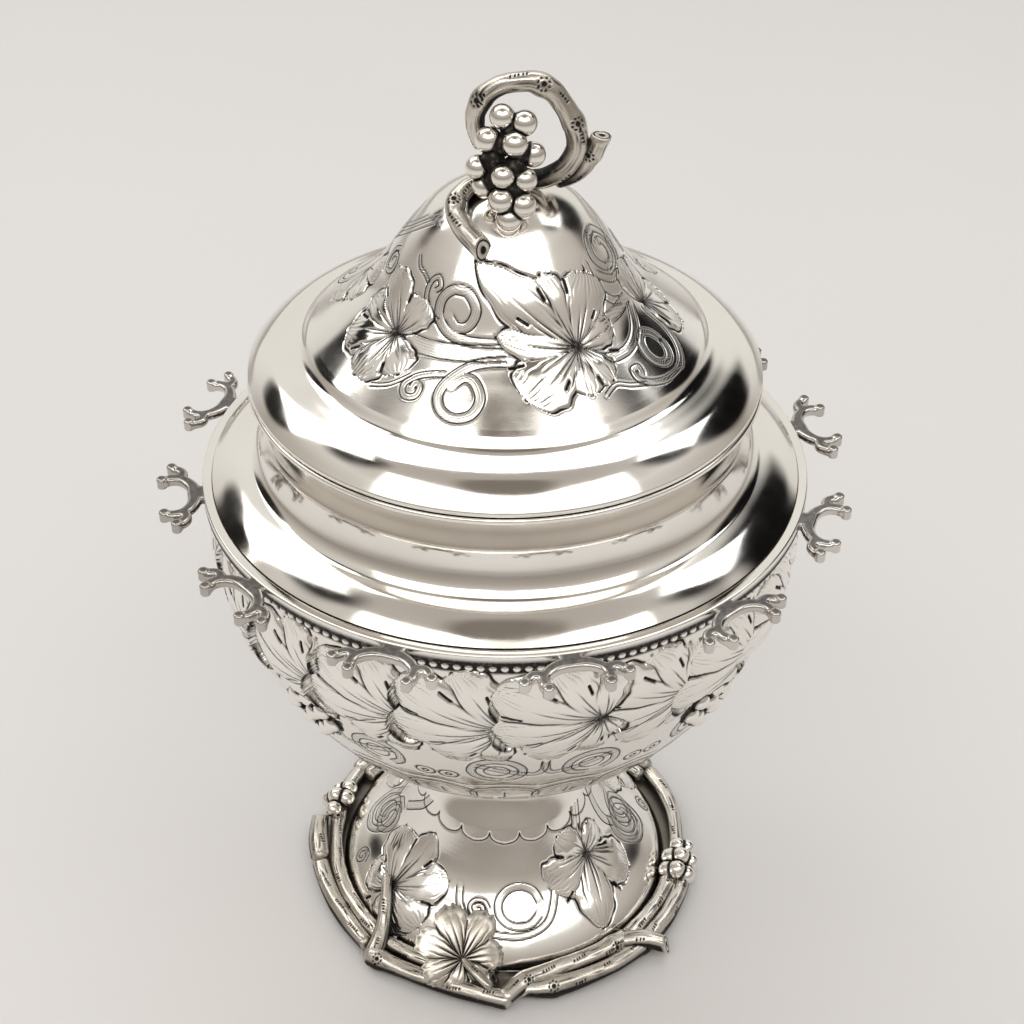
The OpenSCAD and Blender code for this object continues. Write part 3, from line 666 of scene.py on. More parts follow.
def dome_chasing(patch):
    for turn in (0, 180):
        shift = np.array([turn, 0])
        ribbon(
            patch, np.array([(-46, 18.4), (-30, 18.6), (-14, 19.4), (1, 20)]) + shift, 1.9, 0.18, 3, 0.75
        )
        lower_curl = [(2, 18), (-7, 17.6), (-14, 16), (-19.5, 12.6), (-21.6, 9), (-19.6, 5.6), (-15, 4)]
        lower_curl += [(-10, 5.4), (-8, 9.2), (-10.6, 12.9), (-14.6, 13.6), (-18, 11.4)]
        ribbon(patch, np.array(lower_curl) + shift, 1.15, 0.25, 2)
        small_curl = [(-20.6, 13.8), (-26, 13), (-31, 11.4), (-34, 8.8), (-32.2, 6.4), (-28.8, 7)]
        ribbon(
            patch, np.array(small_curl + [(-28.4, 9.4), (-30.4, 9.9), (-31, 8.6)]) + shift, 0.75, 0.2, 1
        )
        ribbon(patch, np.array([(-33, 11.6), (-38, 8), (-41, 6.6), (-45, 5.4)]) + shift, 0.45, 0.15, 0)
        upper_curl = [(2, 22), (-7, 22), (-16, 22), (-25, 23), (-31.4, 26), (-32, 30), (-27, 32.6)]
        upper_curl += [(-19, 32.4), (-14, 29), (-16.4, 25.4), (-22, 24.6), (-27, 26.8)]
        ribbon(patch, np.array(upper_curl) + shift, 1.15, 0.25, 2)
        far_curl = [
            (-31, 24.6), (-37, 26.4), (-41.4, 29.4), (-41.6, 32.6), (-38, 34.2), (-35, 32.4), (-37.6, 31)
        ]
        ribbon(patch, np.array(far_curl) + shift, 0.6, 0.18, 1)
        ribbon(
            patch, np.array([(-42.5, 32), (-47, 33.4), (-53, 34.4), (-58, 36.6)]) + shift, 0.4, 0.15, 0
        )
        arc = [(31, 17.6), (36, 15.2), (44, 13.8), (52, 14.4), (60, 17), (67, 21.4)]
        ribbon(patch, np.array(arc) + shift, 1.2, 0.25, 2)
        ribbon(patch, np.array([(42, 22.6), (52, 22.4), (60, 23), (67, 23.6)]) + shift, 1.3, 0.15, 3, 0.6)
        crest = [(73, 18), (73.4, 12), (70.4, 6.6), (64, 3.2), (56, 3), (49.6, 4.4), (45.8, 6.8)]
        ribbon(patch, np.array(crest + [(45.8, 9.2), (48.4, 9.2), (48, 7.4)]) + shift, 0.8, 0.2, 1)
        ribbon(patch, ring_path(patch.outline, 60.4 + turn, 10.4, 4.4, 0.8), 1.0, 0.2, 2)
        ribbon(patch, np.array([(48, 4.8), (42, 6.4), (37, 8), (32, 6.4)]) + shift, 0.5, 0.15, 0)
        wide = ring_path(patch.outline, 69 + turn, 35.6, 7.4, 0.95, 200, 1.7, 2.2)
        ribbon(patch, wide[::4], 0.95, 0.2, 2, 0.7, 6)
        ribbon(patch, np.array([(50, 36), (51, 30), (56, 25.6), (63, 23.8)]) + shift, 0.9, 0.2, 1, 0.7)
        ribbon(
            patch, ring_path(patch.outline, -78 + turn, 30, 3.6, 1, 90, 1.5, 1.0)[::4], 0.6, 0.2, 1, 0.8,
            6
        )
        for k in (0, 1):
            climb = [(-102, 31 + 3 * k), (-88, 36 + 3 * k), (-72, 42 + 3 * k), (-58, 46 + 3 * k)]
            ribbon(patch, np.array(climb) + shift, 0.6, 0.15, 1, 0.6)
        leaf(patch, (76, 18.6), SIDE_LEAF, 0.5, turn=turn)
        leaf(patch, (-48, 18.5), LEFT_LEAF, 0.55, turn=turn)
        leaf(patch, (29.5, 19), TALL_LEAF, 0.65, pointed=(0, 7), turn=turn)


# %% The lid's cover
def closed_band(
    name, outer, outline, s_from, s_to, body, node, material=chased_sheet
):
    """Closes a band of outer rings with the sheet's plain inner side, from s_from to s_to."""
    inner = plain_rings(outline, np.linspace(s_from, s_to, 8), len(outer[-1][0]) // 10, SHEET)
    return turned(name, outer + inner, material, body, [node])


crest_s = dome_line.length
LOW_EDGE, MID_EDGE, HIGH_EDGE = 2.0, 13.5, 26.0
outer = plain_rings(brim_line, np.linspace(0, brim_line.length, 26)[:-1], 300, wave=0.02)
outer += plain_rings(dome_line, np.linspace(0, LOW_EDGE, 4), 300, wave=0.02)
inner = plain_rings(dome_line, [LOW_EDGE, 0.5], 100, SHEET)
inner += plain_rings(brim_line, np.linspace(brim_line.length, 2.2, 10), 100, SHEET)
inner += [(ring(lid_r - 2.2 * SHEET, brim_low, 100), 0.0)]
turned("lid_brim_spun", outer + inner, burnished_sheet, "lid", ["lid_cover"])
outer = chased_rings(dome_line, [(LOW_EDGE, MID_EDGE, 0.3, 1500)], dome_chasing, wave=0.02)
closed_band("lid_dome_low", outer, dome_line, MID_EDGE, LOW_EDGE, "lid", "lid_cover")
outer = chased_rings(dome_line, [(MID_EDGE, HIGH_EDGE, 0.3, 1500)], dome_chasing, wave=0.02)
closed_band("lid_dome_middle", outer, dome_line, HIGH_EDGE, MID_EDGE, "lid", "lid_cover")
outer = chased_rings(
    dome_line, [(HIGH_EDGE, 44.0, 0.35, 900), (44.0, crest_s - 4, 1.2, 100)], dome_chasing, wave=0.02
)
outer += plain_rings(dome_line, [crest_s - 2], 25) + [(ring(0, crown, 1), 0.0)]
inner = [(ring(0, crown - SHEET, 1), 0.0)] + plain_rings(dome_line, [crest_s - 3], 25, SHEET)
inner += plain_rings(dome_line, np.linspace(crest_s - 6, HIGH_EDGE, 16), 100, SHEET)
turned("lid_dome_top", outer + inner, chased_sheet, "lid", ["lid_cover"])

# %% [markdown]
# ## The bowl
# The bowl's side is nearly upright below its rim and turns under to the stem. Twenty big leaves
# overlap round it like tiles, each raised two millimetres and more from the ground. Grapes hang
# below them, curled tendrils run under those, and a border of arches gathers the sheet in to the
# stem. On the real bowl this is one sheet. Here it is cut into five closed bands, because a single
# mesh would be too heavy. Each band has its own inner side, so no edge is left open.

# %% Bowl outline, from the rim down
upright = [(bowl_r, bowl_top - k) for k in (0, 4, 8)]
under = [
    (bowl_r * math.sin(math.radians(a)), bowl_mid - BOWL_DEPTH * math.cos(math.radians(a)))
    for a in range(90, -1, -2)
]
bowl_line = Outline(upright + under, outward=-1)
joint_s = float(np.interp(-STEM_TOP_R, -bowl_line.p[:, 0], bowl_line.s))
RIM_TO_PATTERN = 5.2
print(f"bowl {bowl_line.length:.1f} mm from rim to middle, stem joint at {joint_s:.1f}")

# %% Chasing on the bowl
BEAD_GROUND = 7.4
BIG_LEAF = [
    (-92, 14, 13),
    (-126, 19.5, 14),
    (-157, 27, 16),
    (174, 27.5, 14),
    (145, 20, 14),
    (112, 14, 12),
    (66, 9, 8),
]
LEAVES_ROUND = 20
LEAF_ANGLE = 36.0


def grape_relief(patch, angle, s, radius=2.7, sink=0.5):
    """A grape pushed out of the sheet: part of a ball, with oxide round its foot."""
    found = patch.window(angle, s, radius + 1)
    if found is None:
        return
    where, around, rows, per_degree = found
    far = np.hypot(around * per_degree, rows - s)
    ball = np.sqrt(np.clip(radius**2 - far**2, 0, None)) - sink
    old = patch.height[where]
    inside = far < radius
    patch.height[where] = np.where(inside, np.maximum(ball * 0.95, old * 0.3), old)
    foot = np.exp(-(((far - radius - 0.1) / 0.5) ** 2))
    patch.oxide_and_shade[where] = np.maximum(np.where(inside & (far < radius - 0.5), 0, patch.oxide_and_shade[where]), foot)


def bowl_chasing(patch):
    base = RIM_TO_PATTERN
    # The sheet from the rim down to BEAD_GROUND is painted dark, a painted shade under the shoulder's edge
    # and its beads.
    patch.oxide_and_shade[:] = 0.95 * np.clip((BEAD_GROUND - patch.s) / 1.6, 0, 1)[:, None]
    for k in range(8):
        middle = 8.2 + 45 * k
        for side in (-1, 1):
            centre = middle + side * 9.8
            hoop = ring_path(patch.outline, centre, base + 39, 5.4, 1.15, 90, 1.0)
            ribbon(patch, hoop[::3], 1.1, 0.15, 2, 0.85, 5)
            cut(patch, ring_path(patch.outline, centre, base + 39, 2.6, 1.2), 0.3, 0.2, 0.7, taper=0)
            small = ring_path(patch.outline, middle + side * 20, base + 43, 2.0, 1.2)
            cut(patch, small, 0.32, 0.25, 0.8, taper=0)
            cut(
                patch, ring_path(patch.outline, middle + side * 20, base + 43, 0.7), 0.3, 0.25, 0.9,
                taper=0
            )
            sweep = [
                (centre + side * 4.5, base + 36), (middle + side * 2, base + 41), (middle, base + 34)
            ]
            ribbon(patch, sweep, 0.9, 0.25, 2, 0.7)
    arches = 24
    for k in range(arches):
        middle = 360 * k / arches
        half = 180 / arches
        foot, top = base + 62, base + 51
        arch = [(middle - half, foot), (middle - 0.9 * half, top + 3), (middle, top)]
        arch += [(middle + 0.9 * half, top + 3), (middle + half, foot)]
        ribbon(patch, arch, 0.8, 0.35, 1, 0.9)
        cut(patch, smooth([(middle, top + 4), (middle, foot)], 4), 0.35, 0.25, 0.7)
        notch = [(middle - half, top - 1.4), (middle, top - 3.4), (middle + half, top - 1.4)]
        cut(patch, smooth(notch, 6), 0.4, 0.3, 0.9, taper=0)
        scale = [(middle - half, foot + 2), (middle, foot + 7), (middle + half, foot + 2)]
        cut(patch, smooth(scale, 6), 0.4, 0.3, 0.9, taper=0)
    band = [(a, base + 63.5) for a in range(0, 361, 10)]
    cut(patch, band, 0.4, 0.3, 0.8, (0, 1.4), taper=0)
    for k in range(LEAVES_ROUND):
        angle = LEAF_ANGLE + 360 * k / LEAVES_ROUND
        big = [(d, n * (1 + 0.05 * math.sin(5 * k + d)), w) for d, n, w in BIG_LEAF]
        leaf(patch, (angle, base + 18.6 + 0.7 * math.sin(2.6 * k)), big, 2.0, 0.2)
    for middle in (-42, 46, 138, -134):
        bunch = [
            (0, 28), (-3.6, 30), (3.4, 30.4), (-5.4, 34), (0.4, 33.4), (5, 34.6), (-2.6, 37.6),
            (2.6, 38), (0, 41.6)
        ]
        for da, ds in bunch:
            grape_relief(patch, middle + da, base + ds)


# %% The bowl in turned bands
CUTS = (4.0, 15.0, 27.0, 40.0, 56.0)
BAND_NAMES = ("bowl_leaf_tips", "bowl_leaf_hearts", "bowl_leaf_feet", "bowl_tendrils")
for name, s0, s1 in zip(BAND_NAMES, CUTS[:-1], CUTS[1:]):
    bands = [(s0, s1, 0.32, 1800 if s1 <= 40 else 1440)]
    if s0 == CUTS[0]:
        bands.insert(0, (0.0, s0, 1.0, 360))
        s0 = 0.0
    outer = chased_rings(bowl_line, bands, bowl_chasing, wave=0.03)
    inner = plain_rings(bowl_line, np.linspace(s0, s1, 8), 120, SHEET)
    turned(name, outer[::-1] + inner, chased_sheet, "bowl", ["bowl_body"])
lower_bands = [(CUTS[-1], 76.0, 0.4, 960), (76.0, joint_s + 4, 1.2, 240)]
lower = chased_rings(bowl_line, lower_bands, bowl_chasing, wave=0.03)
lower += plain_rings(bowl_line, np.linspace(joint_s + 8, bowl_line.length - 3, 6), 60)
inner = plain_rings(bowl_line, np.linspace(CUTS[-1], bowl_line.length - 3, 20), 120, SHEET)
poles = [(ring(0, bowl_mid - BOWL_DEPTH + SHEET, 1), 0.0), (ring(0, bowl_mid - BOWL_DEPTH, 1), 0.0)]
turned("bowl_arches", lower[::-1] + inner + poles, chased_sheet, "bowl", ["bowl_body"])

# %% [markdown]
# ## Shoulder, neck and stem
# These are burnished and left plain, so all that shows is the line of the profile and the waves
# in the reflections. They are turned from the same named points as the frame's own pieces, only
# with many more steps between them.

# %% Shoulder and neck
edge_z = bowl_top + SOLDER + SHEET
shoulder = smooth(
    [
        (bowl_r, edge_z),
        (bowl_r - 0.3 * (bowl_r - NECK_FOOT_R), edge_z + 0.42 * SHOULDER_RISE),
        (bowl_r - 0.65 * (bowl_r - NECK_FOOT_R), edge_z + 0.78 * SHOULDER_RISE),
        (NECK_FOOT_R, neck_foot),
    ],
    10,
)
neck = smooth(
    [
        (NECK_FOOT_R, neck_foot),
        (NECK_FOOT_R - 0.5 * (NECK_FOOT_R - NECK_WAIST_R), neck_foot + 0.1 * NECK_H),
        (NECK_WAIST_R + 0.1 * (NECK_FOOT_R - NECK_WAIST_R), neck_foot + 0.32 * NECK_H),
        (NECK_WAIST_R, neck_foot + 0.52 * NECK_H),
        (NECK_WAIST_R + 0.35 * (mouth_r - NECK_WAIST_R), neck_foot + 0.82 * NECK_H),
        (mouth_r - SHEET - 0.3, neck_top),
    ],
    10,
)
neck_line = Outline(np.vstack([shoulder[:-1], neck]))
outer = plain_rings(neck_line, np.linspace(0, neck_line.length, 60), 240, wave=0.025)
inner = plain_rings(neck_line, np.linspace(neck_line.length, 1.0, 30), 240, SHEET)
inner.append((ring(bowl_r - 0.4, edge_z - SHEET, 240), 0.0))
turned(
    "shoulder_and_neck_burnished", outer + inner, burnished_sheet, "bowl",
    ["shoulder_and_neck"]
)

# %% Stem
stem_points = smooth(
    [
        (stem_base_r, stem_low),
        (STEM_R + 2, stem_low + 0.38 * (stem_high - stem_low)),
        (STEM_R, stem_low + 0.72 * (stem_high - stem_low)),
        (STEM_TOP_R - 1.6, stem_high - 2.2),
        (STEM_TOP_R, stem_high),
    ],
    12,
)
stem_line = Outline(stem_points)
outer = plain_rings(stem_line, np.linspace(0, stem_line.length, 40), 180, wave=0.03)
inner = plain_rings(stem_line, np.linspace(stem_line.length, 0, 16), 90, SHEET)
turned("stem_burnished", outer + inner, burnished_sheet, "bowl", ["stem"])

# %% [markdown]
# ## The foot
# The foot is a low bell. Two large leaves lie on it in front, one fed by the twig that climbs from
# the wreath, with a ringed tendril between them, and the same again behind. Its sheet is cut into
# three closed bands, like the bowl's.

# %% Foot outline and chasing
foot_line = Outline(
    smooth(
        [
            (foot_r, foot_low),
            (foot_r - 0.6, apron_t + 2.2),
            (foot_r - 2.8, apron_t + 5.8),
            (foot_r - 6.5, apron_t + 9.4),
            (foot_r - 12, apron_t + 13.8),
            (STEM_R + 0.42 * (foot_r - STEM_R), apron_t + 0.6 * (foot_top - apron_t)),
            (STEM_R + 0.2 * (foot_r - STEM_R), foot_top),
        ],
        12,
    )
)
TWIG_LEAF = [(-172, 11, 10), (124, 17, 15), (82, 21, 11), (38, 17, 13), (-18, 15.5, 12), (-66, 11, 10)]
DROP_LEAF = [(-112, 22.5, 13), (-164, 15.5, 13), (126, 11, 9.5), (28, 9.5, 9), (-48, 17, 13)]


def foot_chasing(patch):
    for turn in (0, 180):
        shift = np.array([turn, 0])
        swag = [(-23, 24), (-20, 18), (-12, 13.6), (-2, 11.6), (9, 11.4), (18, 14), (24, 20), (27, 26)]
        ribbon(patch, np.array(swag) + shift, 1.0, 0.3, 2, 0.75)
        ribbon(patch, ring_path(patch.outline, 7 + turn, 19.4, 5.6, 1.1)[::3], 1.1, 0.3, 2, 0.75, 5)
        ribbon(
            patch, ring_path(patch.outline, -12 + turn, 18.4, 2.9, 1.1, 0, 1.4, 0.8)[::4], 0.6, 0.2, 1,
            0.8, 5
        )
        stalk = np.array([(50, 29), (50, 34), (54, 39), (58, foot_line.length + 1)]) + shift
        ribbon(patch, stalk, 1.6, 0.6, 1, 0.9)
        ribbon(
            patch, ring_path(patch.outline, 88 + turn, 20, 8.2, 1.0, 120, 1.8, 2.4)[::4], 1.0, 0.25, 2,
            0.7, 6
        )
        ribbon(patch, np.array([(78, 41), (75, 34), (76, 28), (80, 24)]) + shift, 1.3, 0.35, 2, 0.8)
        ribbon(
            patch, ring_path(patch.outline, -86 + turn, 22, 6.4, 1.0, 60, 1.6, 2.0)[::4], 0.9, 0.25, 2,
            0.7, 6
        )
        ribbon(
            patch, ring_path(patch.outline, -76 + turn, 9.4, 2.6, 1.0, 0, 1.3, 0.8)[::4], 0.6, 0.2, 1,
            0.8, 5
        )
        ribbon(patch, np.array([(-82, 30), (-74, 34), (-66, 38), (-60, 44)]) + shift, 1.2, 0.35, 2, 0.8)
        leaf(patch, (-53, 13), TWIG_LEAF, 1.3, 0.18, pointed=(2,), turn=turn)
        leaf(patch, (49, 27), DROP_LEAF, 1.3, 0.18, pointed=(0,), turn=turn)
    scallops = 18
    for number in range(scallops):
        middle, half = 360 * number / scallops, 180 / scallops
        drop = [
            (middle + k * half, 40.6 - 3.0 * math.sqrt(1 - k * k))
            for k in (-1, -0.9, -0.6, 0, 0.6, 0.9, 1)
        ]
        cut(patch, smooth(drop, 4), 0.25, 0.15, 0.8, taper=0)


# %% The foot's dome
foot_cuts = (0.0, 14.0, 28.0, foot_line.length)
for name, s0, s1, cols in zip(
    ("foot_rim", "foot_leaves", "foot_top"), foot_cuts, foot_cuts[1:], (1200, 1200, 800)
):
    outer = chased_rings(foot_line, [(s0, s1, 0.32, cols)], foot_chasing, wave=0.02)
    closed_band(name, outer, foot_line, s1, s0, "bowl", "foot_dome")

# %% [markdown]
# ## Drawn wires
# The mouth, the lid's edge, the shoulder's edge and the lid's inner ring are all the same thing: a
# strip of drawn wire bent into a ring. That is a rule with four sizes, so it is one Geometry Nodes
# tree: a circle for the ring, a filleted rectangle for the wire's section, and one swept along the
# other. The rings differ only in the numbers put into the tree.


# %% Helpers for Geometry Nodes
def node_tree(name, inputs):
    """A Geometry Nodes tree with named inputs, given as (name, socket type, default)."""
    tree = bpy.data.node_groups.new(name, "GeometryNodeTree")
    tree.interface.new_socket("Geometry", in_out="INPUT", socket_type="NodeSocketGeometry")
    for label, kind, value in inputs:
        socket = tree.interface.new_socket(label, in_out="INPUT", socket_type=kind)
        if value is not None:
            socket.default_value = value
    tree.interface.new_socket("Geometry", in_out="OUTPUT", socket_type="NodeSocketGeometry")
    return tree


def grow(name, tree, values, source=None):
    """Runs a tree on a source mesh and gives back the plain mesh that it makes."""
    carrier = bpy.data.objects.new(name + "_source", source or bpy.data.meshes.new(name + "_source"))
    bpy.context.scene.collection.objects.link(carrier)
    modifier = carrier.modifiers.new("grow", "NODES")
    modifier.node_group = tree
    sockets = {s.name: s.identifier for s in tree.interface.items_tree if s.in_out == "INPUT"}
    for label, value in values.items():
        modifier[sockets[label]] = value
    bpy.context.view_layer.update()
    depsgraph = bpy.context.evaluated_depsgraph_get()
    mesh = bpy.data.meshes.new_from_object(carrier.evaluated_get(depsgraph))
    carrier.modifiers.remove(modifier)
    bpy.data.objects.remove(carrier)
    mesh.name = name
    return mesh


def close_tree(tree, geometry, material, smooth=True):
    """Ends a tree: makes the instances real, shades them smooth where asked, and clads them."""
    last = add(tree, "GeometryNodeRealizeInstances", links={"Geometry": geometry})
    if smooth:
        last = add(tree, "GeometryNodeSetShadeSmooth", links={"Geometry": last.outputs["Geometry"]})
    clad = add(
        tree, "GeometryNodeSetMaterial",
        links={"Geometry": last.outputs["Geometry"], "Material": material}
    )
    add(tree, "NodeGroupOutput", links={"Geometry": clad.outputs["Geometry"]})


def point_values(mesh, what="co"):
    """The places of a mesh's points, or their normals, one row to a point."""
    values = np.zeros(len(mesh.vertices) * 3)
    mesh.vertices.foreach_get(what, values)
    return values.reshape(-1, 3)


FLOAT, INT = "NodeSocketFloat", "NodeSocketInt"

# %% The tree for a ring of wire
wire_tree = node_tree(
    "ring_of_wire",
    [
        ("Middle Radius", FLOAT, 0.06),
        ("Level", FLOAT, 0.17),
        ("Width", FLOAT, 0.002),
        ("Height", FLOAT, 0.0015),
        ("Fillet", FLOAT, 0.0005),
        ("Segments", INT, 360),
        ("Material", "NodeSocketMaterial", None),
    ],
)
given = wire_tree.nodes.new("NodeGroupInput").outputs
circle = add(
    wire_tree, "GeometryNodeCurvePrimitiveCircle",
    links={"Resolution": given["Segments"], "Radius": given["Middle Radius"]}
)
upright_ring = add(
    wire_tree, "GeometryNodeSetCurveNormal", {"mode": "Z_UP"}, {"Curve": circle.outputs["Curve"]}
)
section = add(
    wire_tree, "GeometryNodeCurvePrimitiveQuadrilateral",
    links={"Width": given["Width"], "Height": given["Height"]}
)
rounded = add(
    wire_tree, "GeometryNodeFilletCurve", {"mode": "POLY"}, {
        "Curve": section.outputs["Curve"], "Radius": given["Fillet"]
    }, Count=6
)
swept = add(
    wire_tree,
    "GeometryNodeCurveToMesh",
    links={"Curve": upright_ring.outputs["Curve"], "Profile Curve": rounded.outputs["Curve"]},
)
height = add(wire_tree, "ShaderNodeCombineXYZ", links={"Z": given["Level"]})
lifted = add(
    wire_tree, "GeometryNodeTransform",
    links={"Geometry": swept.outputs["Mesh"], "Translation": height.outputs[0]}
)
close_tree(wire_tree, lifted.outputs["Geometry"], given["Material"])


def wire_ring(name, inside, outside, bottom, top, fillet, body, nodes, shade_band=0.0, segments=360):
    """A ring of wire. Its second-last argument is how far up its outer side a painted shade comes."""
    mesh = grow(
        name,
        wire_tree,
        {
            "Middle Radius": (inside + outside) / 2 * MM,
            "Level": (bottom + top) / 2 * MM,
            "Width": (outside - inside) * MM,
            "Height": (top - bottom) * MM,
            "Fillet": fillet * MM,
            "Segments": segments,
            "Material": drawn_wire,
        },
    )
    work = bmesh.new()
    work.from_mesh(mesh)
    bmesh.ops.recalc_face_normals(work, faces=work.faces)
    work.to_mesh(mesh)
    work.free()
    level = point_values(mesh)[:, 2] / MM
    # A painted shade on the lower part of the outer side.
    oxide_and_shade = np.clip((bottom + shade_band - level) / 0.5, 0, 1) * 0.9 if shade_band else np.zeros(len(level))
    return finish_piece(mesh, name, drawn_wire, body, nodes, oxide_and_shade, sharp=40)


# %% The four rings of wire
# How wide the wires are from inside to outside; the mouth's reaches this far inside the neck's sheet.
MOUTH_WIRE_REACH, LID_WIRE_W, BEZEL_T = 1.4, 3.4, 1
# How far up the shoulder's wire the painted shade comes.
EDGE_SHADE_BAND = 1.5
wire_ring(
    "mouth_wire_ring", mouth_r - SHEET - MOUTH_WIRE_REACH, mouth_r, mouth_low, mouth_top, 0.6, "bowl",
    ["mouth_wire"]
)
wire_ring("lid_edge_ring", lid_r - LID_WIRE_W, lid_r, wire_low, wire_top, 0.7, "lid", ["lid_edge_wire"])
wire_ring(
    "shoulder_edge_ring", bowl_r + SOLDER, lip_r, lip_low, lip_top, 0.45, "bowl", ["edge_moulding"],
    EDGE_SHADE_BAND
)
bezel_r = high("lid_bezel", X)
wire_ring(
    "lid_inner_ring", bezel_r - BEZEL_T, bezel_r, low(
        "lid_bezel", Z
    ), high("lid_bezel", Z), 0.3, "lid", ["lid_bezel"]
)

# %% [markdown]
# ## Beads
# Under the shoulder's edge runs a beaded wire: balls rolled out of one rod, with a thin neck
# between each two. More than 170 like shapes are a job for instances: a circle with one
# point to a bead, and a ball of a few dozen faces on each. The dark gaps are painted shade, with
# some oxide in the crevices, written on the points that face the bowl or a neighbour.

# %% Beaded wire
bead_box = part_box("beaded_wire")
bead_r = (bead_box[1].z - bead_box[0].z) / 2 / MM
bead_ring_r = bead_box[1].x / MM - bead_r
bead_z = (bead_box[1].z + bead_box[0].z) / 2 / MM
BEAD_PITCH = 2.65
bead_tree = node_tree(
    "beaded_wire",
    [
        ("Ring Radius", FLOAT, 0.075),
        ("Bead Radius", FLOAT, 0.001),
        ("Level", FLOAT, 0.14),
        ("Count", INT, 170),
        ("Material", "NodeSocketMaterial", None),
    ],
)
given = bead_tree.nodes.new("NodeGroupInput").outputs
spots = add(
    bead_tree, "GeometryNodeMeshCircle",
    links={"Vertices": given["Count"], "Radius": given["Ring Radius"]}
)
ball = add(
    bead_tree, "GeometryNodeMeshUVSphere", links={"Radius": given["Bead Radius"]}, Segments=12, Rings=8
)
row = add(
    bead_tree, "GeometryNodeInstanceOnPoints",
    links={"Points": spots.outputs["Mesh"], "Instance": ball.outputs["Mesh"]}
)
height = add(bead_tree, "ShaderNodeCombineXYZ", links={"Z": given["Level"]})
lifted = add(
    bead_tree, "GeometryNodeTransform",
    links={"Geometry": row.outputs["Instances"], "Translation": height.outputs[0]}
)
close_tree(bead_tree, lifted.outputs["Geometry"], given["Material"])
bead_count = math.floor(math.pi / math.asin(BEAD_PITCH / 2 / bead_ring_r))
mesh = grow(
    "beads",
    bead_tree,
    {
        "Ring Radius": bead_ring_r * MM,
        "Bead Radius": bead_r * MM,
        "Level": bead_z * MM,
        "Count": bead_count,
        "Material": drawn_wire,
    },
)
co = point_values(mesh) / MM
out_of_ring = (np.hypot(co[:, 0], co[:, 1]) - bead_ring_r) / bead_r
above = (co[:, 2] - bead_z) / bead_r
# Painted shade, with oxide in the crevices: darker on the points that face the bowl and the next beads, and
# towards the top, under the shoulder's edge.
bead_shade_and_oxide = np.clip(1.05 - 1.1 * out_of_ring + 0.25 * above, 0, 1)
finish_piece(mesh, "beads", drawn_wire, "bowl", ["beaded_wire"], bead_shade_and_oxide)

# %% [markdown]
# ## Swept bars and branches
# Everything cast on this bowl is a bar that follows a line: the forks of the rests, the vine, its
# twigs and the finial's loop. One function carries a frame along the line without twisting it and
# sets a ring of points at each step. Bark is then only a matter of pushing those points in and
# out: fine lines along the branch, a swelling at each elbow, and the short punched dashes and
# pits that the chaser cut there, which hold the darkest oxide.


# %% Sweeping a ring along a line
def even(path, step):
    s = lengths(path)
    t = np.linspace(0, s[-1], max(3, int(round(s[-1] / step)) + 1))
    return np.column_stack([np.interp(t, s, path[:, k]) for k in range(3)]), t


def frames_along(path, reference):
    """For each point, the direction, and two directions square to it that don't twist."""
    forward = np.gradient(path, axis=0)
    forward /= np.linalg.norm(forward, axis=1)[:, None]
    side = np.cross(forward[0], reference)
    side /= np.linalg.norm(side)
    sides = []
    for f in forward:
        side = side - f * np.dot(side, f)
        side /= np.linalg.norm(side)
        sides.append(side)
    sides = np.array(sides)
    return forward, sides, np.cross(sides, forward)


def bark(run, around, radius, knots, seed, face):
    """Relief and oxide of a vine's bark, on a grid of steps along and steps around."""
    chance = np.random.RandomState(seed)
    g, a = run[:, None], around[None, :]
    wander = 0.9 * np.sin(0.21 * g + seed) + 0.5 * np.sin(0.47 * g + 2 * seed)
    lines = np.abs(np.sin(4.5 * a + wander)) ** 10 + 0.8 * np.abs(np.sin(7.5 * a - 0.7 * wander + 1)) ** 12
    grain = np.clip(lines, 0, 1) * np.clip(
        0.55 + 0.6 * np.sin(0.5 * g + 2 * a) * np.sin(0.23 * g - a), 0, 1
    )
    relief = -0.13 * grain + 0.10 * np.sin(2 * a + 0.16 * g + seed) + 0.07 * np.sin(3 * a - 0.22 * g)
    oxide_and_shade = 0.62 * np.clip(grain, 0, 1)
    marks = []
    for where in knots:
        relief = relief + 0.13 * radius[:, None] * np.exp(-(((g - where) / 1.9) ** 2))
        first = np.interp(where, run, face) + chance.uniform(-0.25, 0.25)
        marks += [(where, first, 0.55, 0.55)]
        marks += [
            (where + 1.25 * math.sin(t), first + 1.3 * math.cos(t) / radius.mean(), 0.24, 0.3)
            for t in np.linspace(0, 2 * math.pi, 9)[:-1]
        ]
        for spread in (2.1, -2.1):
            marks += [(where + spread + 0.7 * k, first + spread + 0.3, 0.2, 0.42) for k in range(3)]
    for start in np.arange(3.5, run[-1] - 2.5, 9.5):
        turn = np.interp(start, run, face) + chance.uniform(-0.8, 0.8)
        for other in (0, 2.4, 4.3):
            count = chance.randint(3, 6)
            marks += [(start + 0.85 * k, turn + other + 0.05 * k, 0.2, 0.48) for k in range(count)]
    for where, turn, long, wide in marks:
        rows = np.nonzero(np.abs(run - where) < 3 * long)[0]
        if not len(rows):
            continue
        off = (around - turn + math.pi) % (2 * math.pi) - math.pi
        dent = np.exp(-(((run[rows] - where) / long) ** 2))[:, None]
        dent = dent * np.exp(-((off[None, :] * radius[rows][:, None] / wide) ** 2))
        relief[rows] -= 0.42 * dent
        oxide_and_shade[rows] = np.maximum(oxide_and_shade[rows], np.clip(1.5 * dent, 0, 1))
    return relief, oxide_and_shade


# How far a pruned end is cut on the slant, as a share of the branch's thickness.
SLANT = 1.5
# Knots and punched rows are set on the side that is meant to be looked at.
VIEWED_FROM = np.array([0, -0.75, 0.66])


def angular(table, share=0.3):
    """Turns each corner of a line into a short bend, so that a shoot runs straight between knots."""
    rows = [table[0]]
    for before, here, after in zip(table, table[1:], table[2:]):
        rows += [here + share * (before - here), here + share * (after - here)]
    return np.array(rows + [table[-1]])


